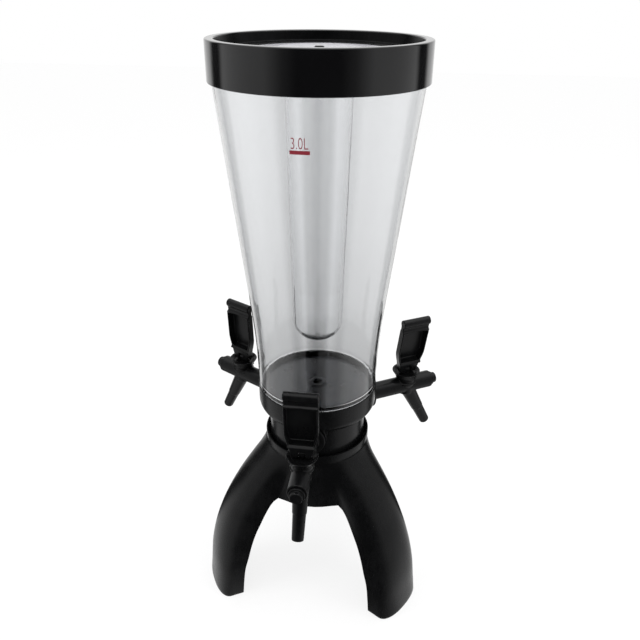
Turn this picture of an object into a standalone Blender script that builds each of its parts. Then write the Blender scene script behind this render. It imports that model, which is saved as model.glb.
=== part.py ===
# Table-top beer tower: a clear reservoir with an ice tube, on a black base with three lever taps
# that turns and lifts out of a three-legged stand.
# Metres, +Z up. The floor is at z = 0 and the origin is in the middle of the footprint.

from math import cos, hypot, pi, radians, sin

import bmesh
import bpy
from mathutils import Matrix

# Fits
gap = 0.0003               # between pieces that seat on each other
running_gap = 0.0002       # round a pin that turns in its hole
overrun = 0.002            # how far a cutter passes the face that it opens
merge = 0.000002           # points closer than this are one

# Facets
large_steps = 48
middle_steps = 30
small_steps = 16
bore_steps = 10

# Stand: one hollow moulding, hub and collar on three legs
pad_thickness = 0.0006
pad_inset = 0.0035
pad_back = 0.0030
stand_height = 0.1816      # underside of the feet to the top of the collar
stand_wall = 0.0032
foot_floor = 0.0040
foot_edge = 0.0009         # rounding round the sole
foot_edge_rise = 0.0012
leg_reach = 0.1240         # tower axis to the toe
leg_half_width = 0.0310
leg_turn = radians(-2)     # how the stand happens to stand against the taps
leg_crown_power = 2.3
collar_radius = 0.0533
collar_wall = 0.0018
collar_band = 0.0095
band_step = 0.0009
hub_top_radius = 0.0524
hub_foot_radius = 0.0618
hub_height = 0.0572        # collar's top down to the hub's lower edge
hub_blend = 0.0070         # fillet where legs and hub meet
arch_edge = 0.0014         # how far outside the hub's lower edge the arches start
foot_depth = 0.0222        # sole, from the arch to the toe
socket_depth = 0.0175
socket_floor_wall = 0.0032
ray_angles = (0, 5, 9.5, 13, 16, 19, 22.5, 26, 30, 34, 38, 43, 51)
level_shares = (0.10, 0.25, 0.40, 0.545, 0.69, 0.76, 0.82, 0.88, 0.944)
crest_shares = ((0, 1.0), (0.10, 0.976), (0.25, 0.960), (0.40, 0.911), (0.545, 0.831),
                (0.69, 0.714), (0.82, 0.573), (0.944, 0.418), (1.0, 0.356))
crown_shares = ((0, 0.42), (0.30, 0.58), (0.60, 0.76), (1.0, 0.87))
arch_shares = ((0, 1.0), (0.14, 0.985), (0.286, 0.963), (0.405, 0.925), (0.53, 0.888),
               (0.66, 0.838), (0.76, 0.786), (0.87, 0.727), (0.952, 0.672))

# Ring that centres the neck in the collar and lifts out with the tower
ring_height = 0.0070
ring_fit = 0.0003

# Base: neck and cup in one moulding
neck_radius = 0.0486
neck_wall = 0.0026
neck_length = 0.0471       # neck's end up to the shoulder
neck_skirt = 0.0204        # open below the closed bottom
chamber_bottom = 0.0026
shoulder_rise = 0.0106
shoulder_rise_inside = 0.0086
ledge_radius = 0.0523
cup_radius = 0.0591
cup_side = 0.0175          # shoulder up to the rim
cup_bore = 0.0569
cup_depth = 0.0103         # rim down to the ledge
shoulder_bends = 4
boss_radius = 0.0161
boss_face = 0.0565         # flat face for the tap's flange, from the axis
boss_back = 0.0446         # behind the neck's curved wall at the boss's sides
spot_margin = 0.0006       # how much wider than the boss its face is cut
inner_boss_radius = 0.0125
inner_boss_face = 0.0435

# Floor plate over the chamber, its seal and the reservoir
plate_flange = 0.0015
plate_neck_radius = 0.0537
plate_rise = 0.0055        # ledge up to the plate's top
outlet_boss_radius = 0.0095
outlet_boss_rise = 0.0020
outlet_radius = 0.0045
plate_thickness = 0.0030
seal_thickness = 0.0010
seal_width = 0.0024

reservoir_wall = 0.0025
reservoir_foot_radius = 0.0588
foot_band = 0.0042
curve_rise = 0.0740
cone_rise = 0.2073
rim_band = 0.0167
reservoir_rim_radius = 0.0866
curve_bends = 4

# Top ring, which closes the reservoir and carries the ice tube
top_radius = 0.0900
top_skirt = 0.0187
top_skirt_bore = 0.0876
top_web = 0.0045
top_rim_rise = 0.0085
top_rim_bore = 0.0830
top_ledge_radius = 0.0810
top_seat_radius = 0.0620
top_seat_depth = 0.0030
top_mouth_radius = 0.0560
top_mouth_lip = 0.0018
rim_seal_thickness = 0.0014
rim_seal_inset = 0.0003

# Ice tube with its lid
tube_radius = 0.0290
tube_end_radius = 0.0234
tube_wall = 0.0020
tube_length = 0.2390       # flange down to the rounded end
tube_end_rise = 0.0180
tube_flange = 0.0022
tube_end_bends = 4
nub_radius = 0.0022
nub_rise = 0.0014
lid_radius = 0.0340
lid_thickness = 0.0016
lid_plug_wall = 0.0015
lid_plug_depth = 0.0060
knob_radius = 0.0050
knob_rise = 0.0018
knob_round = 0.0007
knob_stem_radius = 0.0020
knob_stem_length = 0.0045

# Taps, in a frame where the tap points along -Y
tap_names = ("front", "right", "left")
tap_turns = (0, radians(120), radians(-120))
swivels = (0, radians(-90), radians(90))
lever_leans = (radians(4), radians(11), radians(2))
tap_height = 0.0427        # neck's end up to the pipe's axis
tap_reach = 0.1035         # tower axis to the valve's axis
tap_seal_thickness = 0.0010
tap_seal_radius = 0.0120
flange_radius = 0.0152
flange_thickness = 0.0030
pipe_radius = 0.00915
pipe_end = 0.1330
shank_radius = 0.0068
shank_end = 0.0340
shank_bore = 0.0045
nut_radius = 0.0115        # to the corners
nut_thickness = 0.0060
nut_sides = 6
plug_step_radius = 0.0073
plug_step = 0.0024
plug_knob_radius = 0.00575
plug_knob = 0.0046
plug_round = 0.0010
plug_stem = 0.0080

valve_radius = 0.0090
valve_drop = 0.0090        # pipe's axis down to the valve's closed end
valve_shoulder = 0.0096    # pipe's axis up to the shoulder under the bonnet
valve_neck_radius = 0.0078
valve_neck_rise = 0.0038
valve_bore = 0.0061
valve_seat = 0.0062        # pipe's axis down to the plunger's seat
nozzle_tilt = radians(27.6)
nozzle_length = 0.0625
nozzle_root_radius = 0.0084
nozzle_tip_radius = 0.0055
nozzle_step_radius = 0.0068
nozzle_step_at = 0.0380
nozzle_step_rise = 0.0006
nozzle_bore = 0.0038

bonnet_radius = 0.0100
bonnet_mouth_radius = 0.0140
bonnet_height = 0.0106
bonnet_wall = 0.0016
bonnet_cup_depth = 0.0050
bonnet_cup_radius = 0.0098
bonnet_web = 0.0018
stem_hole_radius = 0.0028

plunger_head_radius = 0.0056
plunger_head = 0.0024
plunger_seal_radius = 0.0058
plunger_seal_thickness = 0.0020
stem_radius = 0.0023
eye_radius = 0.0034
eye_width = 0.0050
spring_coil_radius = 0.0044
spring_wire_radius = 0.0005
spring_turns = 3
spring_points = 8          # in each turn

pin_radius = 0.0015
pin_inset = 0.0012
lever_width = 0.0303
lever_length = 0.0627      # pin up to the axis of the rolled end
roll_radius = 0.0047
roll_bends = 8
foot_radius = 0.0042
foot_bends = 4
foot_width = 0.0187
foot_end_width = 0.0160
waist_width = 0.0240
waist_rise = 0.0085        # pin up to the ridge across the foot
taper_rise = 0.0240        # pin up to where the blade is full width
ridge_reach = 0.0066
ridge_drop = 0.0020
blade_back = 0.0036
blade_front = 0.0042
return_width = 0.0019
pocket_floor = 0.0012      # behind the pin's plane
pocket_top = 0.0552
pocket_crown = 0.0022
pocket_bends = 4
slot_clearance = 0.0006
slot_rise = 0.0052

# Heights that the sizes above give
foot_low = pad_thickness + gap
collar_top = foot_low + stand_height
arch_reach = leg_reach - foot_depth
socket_floor = collar_top - socket_depth
hub_low = collar_top - hub_height
neck_low = socket_floor + gap
shoulder_low = neck_low + neck_length
cup_top = shoulder_low + shoulder_rise + cup_side
ledge = cup_top - cup_depth
plate_low = ledge + gap
plate_top = ledge + plate_rise
seal_low = plate_low + plate_flange + gap
reservoir_low = seal_low + seal_thickness + gap
reservoir_step = cup_top + gap
reservoir_top = reservoir_step + foot_band + curve_rise + cone_rise + rim_band
rim_seal_low = reservoir_top + gap
web_low = rim_seal_low + rim_seal_thickness + gap
top_ledge = web_low + top_web
top_rim = top_ledge + top_rim_rise
tube_seat = top_ledge - top_seat_depth
tube_flange_low = tube_seat + gap
tube_flange_top = tube_flange_low + tube_flange
lid_low = tube_flange_top + gap
knob_low = lid_low + lid_thickness + gap
tap_axis = neck_low + tap_height
bonnet_low = tap_axis + valve_shoulder + gap
bonnet_top = bonnet_low + bonnet_height
bonnet_floor = bonnet_top - bonnet_cup_depth
pin_height = bonnet_floor + gap + foot_radius
seat = tap_axis - valve_seat
tap_end = pipe_end + gap + plug_step + plug_knob
axis_back = (tap_end - leg_reach * cos(leg_turn)) / 2   # centres the footprint on the origin


def clear_scene():
    for item in list(bpy.data.objects):
        bpy.data.objects.remove(item, do_unlink=True)


def finish(name, colour, roughness, metallic=0, alpha=1):
    material = bpy.data.materials.new(name)
    material.use_nodes = True
    shader = material.node_tree.nodes["Principled BSDF"]
    shader.inputs["Base Color"].default_value = (*colour, 1)
    shader.inputs["Roughness"].default_value = roughness
    shader.inputs["Metallic"].default_value = metallic
    shader.inputs["Alpha"].default_value = alpha
    return material


def empty(name, parent=None, place=(0, 0, 0), turn=(0, 0, 0)):
    holder = bpy.data.objects.new(name, None)
    bpy.context.collection.objects.link(holder)
    holder.parent = parent
    holder.location = place
    holder.rotation_euler = turn
    return holder


def solid(name, bm, material, parent):
    """Makes an object of a closed mesh, with its faces pointing out and its edges kept crisp."""
    bmesh.ops.recalc_face_normals(bm, faces=bm.faces)
    if bm.calc_volume(signed=True) < 0:
        bmesh.ops.reverse_faces(bm, faces=bm.faces)
    mesh = bpy.data.meshes.new(name)
    bm.to_mesh(mesh)
    bm.free()
    mesh.shade_smooth()
    mesh.set_sharp_from_angle(angle=radians(32))
    piece = bpy.data.objects.new(name, mesh)
    bpy.context.collection.objects.link(piece)
    piece.parent = parent
    if material:
        mesh.materials.append(material)
    return piece


def helper(name, bm, parent):
    """A cutter or an added shape, which only a Boolean uses."""
    piece = solid(name, bm, None, parent)
    piece.hide_render = True
    piece.display_type = "WIRE"
    return piece


def combine(piece, other, operation="DIFFERENCE"):
    modifier = piece.modifiers.new(other.name, "BOOLEAN")
    modifier.object = other
    modifier.operation = operation
    modifier.solver = "EXACT"


def turned(outline, steps):
    """Spins an outline of (radius, height) points about Z. One that starts and ends at radius
    zero stays open there, and any other is closed."""
    bm = bmesh.new()
    points = [bm.verts.new((radius, 0, height)) for radius, height in outline]
    edges = [bm.edges.new(pair) for pair in zip(points, points[1:])]
    if outline[0][0] > 0:
        edges.append(bm.edges.new((points[-1], points[0])))
    bmesh.ops.spin(bm, geom=points + edges, cent=(0, 0, 0), axis=(0, 0, 1), angle=2 * pi,
                   steps=steps, use_merge=True)
    bmesh.ops.remove_doubles(bm, verts=bm.verts, dist=merge)
    poles = [point for point in bm.verts if hypot(point.co.x, point.co.y) < merge]
    flat = [pole for pole in poles
            if all(abs(edge.verts[0].co.z - edge.verts[1].co.z) < merge for edge in pole.link_edges)]
    bmesh.ops.dissolve_verts(bm, verts=flat)
    return bm


def along_pipe(bm):
    """Turns a shape from +Z to -Y and lifts it to the tap's axis."""
    bm.transform(Matrix.Translation((0, 0, tap_axis)) @ Matrix.Rotation(pi / 2, 4, "X"))
    return bm


def along_nozzle(bm):
    """Turns a shape from +Z to the nozzle's slope, from where the valve's and pipe's axes meet."""
    start = Matrix.Translation((0, -tap_reach, tap_axis))
    bm.transform(start @ Matrix.Rotation(pi - nozzle_tilt, 4, "X"))
    return bm


def loft(rings):
    """Joins rings of as many points each, from the lowest up, and closes both ends."""
    bm = bmesh.new()
    rows = [[bm.verts.new(point) for point in ring] for ring in rings]
    for low, high in zip(rows, rows[1:]):
        for index in range(len(low)):
            after = (index + 1) % len(low)
            bm.faces.new((low[index], low[after], high[after], high[index]))
    bm.faces.new(rows[0][::-1])
    bm.faces.new(rows[-1])
    return bm


def prism(points, low, high):
    """Extrudes an outline of (x, y) points in height."""
    return loft([[(x, y, level) for x, y in points] for level in (low, high)])


def arc(centre, radius, start, end, bends):
    """Points on an arc about a centre, its angles in degrees."""
    angles = [radians(start + (end - start) * step / bends) for step in range(bends + 1)]
    return [(centre[0] + radius * cos(angle), centre[1] + radius * sin(angle)) for angle in angles]


def from_shares(table, share):
    """Reads a table of (share, value) pairs as one smooth curve."""
    last = len(table) - 2
    place = max(index for index in range(last + 1) if table[index][0] <= share or index == 0)
    (left, start), (right, end) = table[place], table[place + 1]
    before = table[max(place - 1, 0)]
    after = table[min(place + 2, last + 1)]
    slope_in = (end - before[1]) / (right - before[0])
    slope_out = (after[1] - start) / (after[0] - left)
    width = right - left
    t = (share - left) / width
    return (start * (2 * t**3 - 3 * t**2 + 1) + slope_in * width * (t**3 - 2 * t**2 + t)
            + end * (3 * t**2 - 2 * t**3) + slope_out * width * (t**3 - t**2))


def leg_front(across, share, inset):
    """Distance from the axis to the leg's crowned front, at a place across its width."""
    half_width = leg_half_width - inset
    crown = leg_half_width * from_shares(crown_shares, share)
    rest = max(1 - (abs(across) / half_width) ** leg_crown_power, 0)
    crest = leg_reach * from_shares(crest_shares, share) - inset
    return crest - crown + crown * rest ** (1 / leg_crown_power)


def leg_radius(angle, share, inset):
    """Where a ray from the axis, at an angle to the leg's middle, leaves the leg."""
    inside = 0
    outside = leg_reach
    if sin(angle) > 0:
        outside = min(outside, (leg_half_width - inset) / sin(angle))
    far = outside
    for _ in range(30):
        middle = (inside + outside) / 2
        if middle * cos(angle) < leg_front(middle * sin(angle), share, inset):
            inside = middle
        else:
            outside = middle
    return min(inside, far)


def hub_radius(height, inset):
    """The hub widens from under the collar's band to its lower edge."""
    share = (collar_top - collar_band - height) / (hub_height - collar_band)
    return hub_top_radius + (hub_foot_radius - hub_top_radius) * min(max(share, 0), 1) - inset


def stand_ring(height, inset):
    """One level of the stand: hub and legs, with a soft fillet between them."""
    share = (height - foot_low) / stand_height
    hub = hub_radius(height, inset)
    half = []
    for degrees in ray_angles:
        leg = leg_radius(radians(degrees), share, inset)
        near = max(hub_blend - abs(hub - leg), 0) / hub_blend
        half.append((radians(degrees), max(hub, leg) + near * near * hub_blend / 4))
    half.append((radians(60), max(hub, leg_radius(radians(60), share, inset))))
    sector = [(-angle, radius) for angle, radius in half[:0:-1]] + half[:-1]
    points = []
    for leg in range(3):
        for angle, radius in sector:
            turn = angle + 2 * pi * leg / 3
            points.append((radius * sin(turn), -radius * cos(turn), height))
    return points


def make_stand(parent, black):
    levels = [foot_low + stand_height * share for share in level_shares]
    band_low = collar_top - collar_band
    rings = [stand_ring(foot_low, foot_edge), stand_ring(foot_low + foot_edge_rise, 0)]
    rings += [stand_ring(level, 0) for level in levels]
    stand = solid("tripod_stand", loft(rings), black, parent)

    collar_low = band_low - collar_band
    collar = [(collar_radius - band_step, collar_low), (collar_radius - band_step, band_low),
              (collar_radius, band_low), (collar_radius, collar_top), (0, collar_top)]
    combine(stand, helper("collar", turned([(0, collar_low)] + collar, large_steps), parent), "UNION")

    roof = socket_floor - socket_floor_wall
    inside_levels = [level for level in levels if level < roof - socket_floor_wall][::2] + [roof]
    inside = [stand_ring(level, stand_wall) for level in [foot_low + foot_floor] + inside_levels]
    combine(stand, helper("stand_hollow", loft(inside), parent))

    arch = [(arch_reach * share, hub_low * height) for height, share in arch_shares]
    outline = [(0, -overrun), (arch_reach, -overrun)] + arch
    outline += [(hub_foot_radius + arch_edge, hub_low), (0, hub_low)]
    half_step = Matrix.Rotation(pi / large_steps, 4, "Z")
    bm = turned(outline, large_steps)
    bm.transform(half_step)
    combine(stand, helper("arch_cut", bm, parent))

    bore = collar_radius - collar_wall
    outline = [(0, socket_floor), (bore, socket_floor), (bore, collar_top + overrun)]
    outline.append((0, collar_top + overrun))
    combine(stand, helper("socket_cut", turned(outline, large_steps), parent))


def make_pads(parent, rubber):
    """A pad under each foot, the foot's plan drawn in all round."""
    half_width = leg_half_width - foot_edge - pad_inset
    inner = arch_reach + pad_back
    places = [half_width * step / 5 for step in range(-5, 6)]
    front = [(across, -leg_front(across, 0, foot_edge + pad_inset)) for across in places]
    outline = [(half_width, -inner), (-half_width, -inner)] + front
    for number in range(3):
        holder = empty(f"leg_{number + 1}", parent, turn=(0, 0, 2 * pi * number / 3))
        solid(f"foot_pad_{number + 1}", prism(outline, 0, pad_thickness), rubber, holder)


def make_centring_ring(parent, rubber):
    outer = collar_radius - collar_wall - ring_fit
    inner = neck_radius + ring_fit
    low = socket_floor + gap
    outline = [(inner, low), (outer, low), (outer, low + ring_height), (inner, low + ring_height)]
    solid("centring_ring", turned(outline, large_steps), rubber, parent)


def quarter(radius_in, radius_out, low, high):
    """A quarter ellipse, from its low inner end round to its high outer end."""
    return [(radius_in + (radius_out - radius_in) * x, high + (high - low) * y)
            for x, y in arc((0, 0), 1, -90, 0, shoulder_bends)]


def make_base(parent, black, taps):
    neck_bore = neck_radius - neck_wall
    shoulder_high = shoulder_low + shoulder_rise
    bottom_low = neck_low + neck_skirt
    bottom_high = bottom_low + chamber_bottom
    inside = quarter(neck_bore, ledge_radius, shoulder_high - shoulder_rise_inside, shoulder_high)
    outline = [(0, bottom_low), (neck_bore, bottom_low), (neck_bore, neck_low)]
    outline += [(neck_radius, neck_low)]
    outline += quarter(neck_radius, cup_radius, shoulder_low, shoulder_high)
    outline += [(cup_radius, cup_top), (cup_bore, cup_top), (cup_bore, ledge), (ledge_radius, ledge)]
    outline += inside[::-1] + [(neck_bore, bottom_high), (0, bottom_high)]
    base = solid("base_cup", turned(outline, large_steps), black, parent)

    for name, holder in taps:
        end = boss_face + overrun
        outline = [(0, inner_boss_face), (inner_boss_radius, inner_boss_face)]
        outline += [(inner_boss_radius, boss_back), (boss_radius, boss_back), (boss_radius, end)]
        bm = along_pipe(turned(outline + [(0, end)], small_steps))
        combine(base, helper(f"boss_{name}", bm, holder), "UNION")
        reach = cup_radius + overrun
        spot = boss_radius + spot_margin
        outline = [(0, boss_face), (spot, boss_face), (spot, reach), (0, reach)]
        bm = along_pipe(turned(outline, small_steps))
        combine(base, helper(f"boss_face_{name}", bm, holder))
        radius = shank_radius + gap
        start = inner_boss_face - overrun
        end = boss_face + overrun
        hole = [(0, start), (radius, start), (radius, end), (0, end)]
        combine(base, helper(f"shank_hole_{name}", along_pipe(turned(hole, small_steps)), holder))


def make_floor(parent, grey, rubber):
    edge = cup_bore - gap
    under = plate_top - plate_thickness
    boss_top = plate_top + outlet_boss_rise
    drum = plate_neck_radius - plate_thickness
    outline = [(outlet_radius, under), (drum, under), (drum, plate_low), (edge, plate_low)]
    outline += [(edge, plate_low + plate_flange), (plate_neck_radius, plate_low + plate_flange)]
    outline += [(plate_neck_radius, plate_top), (outlet_boss_radius, plate_top)]
    outline += [(outlet_boss_radius - outlet_boss_rise, boss_top), (outlet_radius, boss_top)]
    solid("floor_plate", turned(outline, large_steps), grey, parent)

    inner = edge - seal_width
    outline = [(inner, seal_low), (edge, seal_low), (edge, seal_low + seal_thickness)]
    outline.append((inner, seal_low + seal_thickness))
    solid("floor_seal", turned(outline, large_steps), rubber, parent)


def make_reservoir(parent, clear):
    """A spigot in the cup, a curve out of its upright foot into a long cone, and an upright rim."""
    spigot = cup_bore - gap
    slope = (reservoir_rim_radius - reservoir_foot_radius) / (cone_rise + curve_rise / 2)
    curve_low = reservoir_step + foot_band
    cone_high = curve_low + curve_rise + cone_rise
    curve = []
    for step in range(curve_bends + 1):
        rise = curve_rise * step / curve_bends
        radius = reservoir_foot_radius + slope * rise * rise / (2 * curve_rise)
        curve.append((radius, curve_low + rise))
    side = curve + [(reservoir_rim_radius, cone_high), (reservoir_rim_radius, reservoir_top)]
    inside = [(radius - reservoir_wall, height) for radius, height in side]
    outline = [(spigot, reservoir_low), (spigot, reservoir_step)]
    outline += [(reservoir_foot_radius, reservoir_step)] + side
    outline += inside[::-1] + [(spigot - reservoir_wall, reservoir_step)]
    outline.append((spigot - reservoir_wall, reservoir_low))
    solid("reservoir", turned(outline, large_steps), clear, parent)


def make_top(parent, gloss, rubber):
    skirt_low = web_low - top_skirt
    lip_low = web_low - top_mouth_lip
    outline = [(top_radius, skirt_low), (top_radius, top_rim), (top_rim_bore, top_rim)]
    outline += [(top_ledge_radius, top_ledge), (top_seat_radius, top_ledge)]
    outline += [(top_seat_radius, tube_seat), (top_mouth_radius, tube_seat)]
    outline += [(top_mouth_radius, lip_low), (top_seat_radius, lip_low), (top_seat_radius, web_low)]
    outline += [(top_skirt_bore, web_low), (top_skirt_bore, skirt_low)]
    solid("top_ring", turned(outline, large_steps), gloss, parent)

    outer = reservoir_rim_radius - rim_seal_inset
    inner = outer - reservoir_wall + rim_seal_inset
    high = rim_seal_low + rim_seal_thickness
    outline = [(inner, rim_seal_low), (outer, rim_seal_low), (outer, high), (inner, high)]
    solid("rim_seal", turned(outline, large_steps), rubber, parent)


def make_ice_tube(tube_holder, lid_holder, clear, black):
    end_top = tube_flange_low - tube_length
    end_low = end_top - tube_end_rise
    bends = [radians(90 * step / tube_end_bends) for step in range(tube_end_bends)]
    outside = [(tube_end_radius * cos(bend), end_top - tube_end_rise * sin(bend)) for bend in bends]
    inner_end = tube_end_radius - tube_wall
    inner_rise = tube_end_rise - tube_wall
    inside = [(inner_end * cos(bend), end_top - inner_rise * sin(bend)) for bend in bends]
    bore = tube_radius - tube_wall
    outline = [(0, end_low - nub_rise), (nub_radius, end_low - nub_rise), (nub_radius, end_low)]
    outline += outside[::-1] + [(tube_radius, tube_flange_low)]
    outline += [(top_seat_radius - gap, tube_flange_low), (top_seat_radius - gap, tube_flange_top)]
    outline += [(bore, tube_flange_top), (bore, tube_flange_low)] + inside
    outline.append((0, end_top - inner_rise))
    solid("ice_tube", turned(outline, middle_steps), clear, tube_holder)

    lid_top = lid_low + lid_thickness
    plug = bore - gap
    hole = knob_stem_radius + gap
    outline = [(hole, lid_low), (plug - lid_plug_wall, lid_low)]
    outline += [(plug - lid_plug_wall, lid_low - lid_plug_depth), (plug, lid_low - lid_plug_depth)]
    outline += [(plug, lid_low), (lid_radius, lid_low), (lid_radius, lid_top), (hole, lid_top)]
    solid("tube_lid", turned(outline, middle_steps), clear, lid_holder)

    knob_top = knob_low + knob_rise
    stem_low = knob_low - knob_stem_length
    outline = [(0, stem_low), (knob_stem_radius, stem_low), (knob_stem_radius, knob_low)]
    outline += [(knob_radius, knob_low), (knob_radius, knob_top - knob_round)]
    outline += [(knob_radius - knob_round, knob_top), (0, knob_top)]
    solid("lid_knob", turned(outline, small_steps), black, lid_holder)


def make_tap_body(name, holder, black):
    """Shank, flange and pipe in one turning, with the valve and the nozzle grown on it."""
    flange = boss_face + gap + tap_seal_thickness + gap
    flange_end = flange + flange_thickness
    outline = [(0, shank_end), (shank_radius, shank_end), (shank_radius, flange)]
    outline += [(flange_radius, flange), (flange_radius, flange_end), (pipe_radius, flange_end)]
    outline += [(pipe_radius, pipe_end), (0, pipe_end)]
    body = solid(f"tap_body_{name}", along_pipe(turned(outline, small_steps)), black, holder)

    low = tap_axis - valve_drop
    shoulder = tap_axis + valve_shoulder
    neck_top = shoulder + valve_neck_rise
    outline = [(0, low), (valve_radius, low), (valve_radius, shoulder), (valve_neck_radius, shoulder)]
    outline += [(valve_neck_radius, neck_top), (0, neck_top)]
    bm = turned(outline, small_steps)
    bm.transform(Matrix.Translation((0, -tap_reach, 0)))
    combine(body, helper(f"valve_{name}", bm, holder), "UNION")

    share = nozzle_step_at / nozzle_length
    step = nozzle_root_radius + (nozzle_tip_radius - nozzle_root_radius) * share
    outline = [(0, 0), (nozzle_root_radius, 0), (step, nozzle_step_at)]
    outline += [(nozzle_step_radius - nozzle_step_rise, nozzle_step_at)]
    outline += [(nozzle_tip_radius, nozzle_length), (0, nozzle_length)]
    bm = along_nozzle(turned(outline, small_steps))
    combine(body, helper(f"nozzle_{name}", bm, holder), "UNION")

    start = shank_end - overrun
    end = pipe_end + overrun
    outline = [(0, start), (shank_bore, start), (shank_bore, end), (0, end)]
    combine(body, helper(f"pipe_bore_{name}", along_pipe(turned(outline, bore_steps)), holder))
    top = neck_top + overrun
    outline = [(0, seat), (valve_bore, seat), (valve_bore, top), (0, top)]
    bm = turned(outline, bore_steps)
    bm.transform(Matrix.Translation((0, -tap_reach, 0)))
    combine(body, helper(f"valve_bore_{name}", bm, holder))
    end = nozzle_length + overrun
    outline = [(0, valve_seat), (nozzle_bore, valve_seat), (nozzle_bore, end), (0, end)]
    bm = along_nozzle(turned(outline, bore_steps))
    combine(body, helper(f"nozzle_bore_{name}", bm, holder))


def make_tap_fittings(name, holder, black, rubber, nylon):
    low = boss_face + gap
    high = low + tap_seal_thickness
    inner = shank_radius + gap
    outline = [(inner, low), (tap_seal_radius, low), (tap_seal_radius, high), (inner, high)]
    solid(f"tap_seal_{name}", along_pipe(turned(outline, small_steps)), rubber, holder)

    high = inner_boss_face - gap
    low = high - nut_thickness
    nut = solid(f"lock_nut_{name}", along_pipe(turned([(0, low), (nut_radius, low),
                (nut_radius, high), (0, high)], nut_sides)), nylon, holder)
    start = low - overrun
    end = high + overrun
    hole = along_pipe(turned([(0, start), (inner, start), (inner, end), (0, end)], small_steps))
    combine(nut, helper(f"nut_bore_{name}", hole, holder))

    stem = shank_bore - gap
    start = pipe_end + gap
    step = start + plug_step
    end = step + plug_knob
    outline = [(0, start - plug_stem), (stem, start - plug_stem), (stem, start)]
    outline += [(plug_step_radius, start), (plug_step_radius, step), (plug_knob_radius, step)]
    outline += [(plug_knob_radius, end - plug_round), (plug_knob_radius - plug_round, end), (0, end)]
    solid(f"end_plug_{name}", along_pipe(turned(outline, small_steps)), black, holder)


def make_valve(name, holder, black, rubber, steel):
    """What stands on the valve's axis: the bonnet, the plunger with its seal, and the spring."""
    mouth = bonnet_mouth_radius - bonnet_wall
    web_under = bonnet_floor - bonnet_web
    skirt_bore = valve_neck_radius + gap
    outline = [(skirt_bore, bonnet_low), (bonnet_radius, bonnet_low)]
    outline += [(bonnet_mouth_radius, bonnet_top), (mouth, bonnet_top)]
    outline += [(bonnet_cup_radius, bonnet_floor), (stem_hole_radius, bonnet_floor)]
    outline += [(stem_hole_radius, web_under), (skirt_bore, web_under)]
    solid(f"bonnet_{name}", turned(outline, small_steps), black, holder)

    seal_bottom = seat + gap
    head_low = seal_bottom + plunger_seal_thickness + gap
    head_high = head_low + plunger_head
    hole = stem_radius + gap
    outline = [(hole, seal_bottom), (plunger_seal_radius, seal_bottom)]
    outline += [(plunger_seal_radius, head_low - gap), (hole, head_low - gap)]
    solid(f"plunger_seal_{name}", turned(outline, bore_steps), rubber, holder)

    outline = [(0, seal_bottom), (stem_radius, seal_bottom), (stem_radius, head_low)]
    outline += [(plunger_head_radius, head_low), (plunger_head_radius, head_high)]
    outline += [(stem_radius, head_high), (stem_radius, pin_height), (0, pin_height)]
    plunger = solid(f"plunger_{name}", turned(outline, bore_steps), black, holder)
    half = eye_width / 2
    bm = turned([(0, -half), (eye_radius, -half), (eye_radius, half), (0, half)], bore_steps)
    across = Matrix.Translation((0, 0, pin_height)) @ Matrix.Rotation(pi / 2, 4, "Y")
    bm.transform(across)
    combine(plunger, helper(f"eye_{name}", bm, holder), "UNION")
    end = half + overrun
    hole = pin_radius + running_gap
    bm = turned([(0, -end), (hole, -end), (hole, end), (0, end)], bore_steps)
    bm.transform(across)
    combine(plunger, helper(f"eye_bore_{name}", bm, holder))

    low = head_high + gap + spring_wire_radius
    high = web_under - gap - spring_wire_radius
    curve = bpy.data.curves.new(f"spring_{name}", "CURVE")
    curve.dimensions = "3D"
    curve.bevel_depth = spring_wire_radius
    curve.bevel_resolution = 0
    curve.use_fill_caps = True
    spline = curve.splines.new("POLY")
    count = spring_turns * spring_points
    spline.points.add(count)
    for index, point in enumerate(spline.points):
        turn = 2 * pi * index / spring_points
        rise = low + (high - low) * index / count
        point.co = (spring_coil_radius * cos(turn), spring_coil_radius * sin(turn), rise, 1)
    curve.materials.append(steel)
    spring = bpy.data.objects.new(f"spring_{name}", curve)
    bpy.context.collection.objects.link(spring)
    spring.parent = holder


def upright(bm):
    """Turns an outline drawn flat, x across and y up, to stand up and face -Y."""
    bm.transform(Matrix.Rotation(pi / 2, 4, "X"))
    return bm


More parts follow.
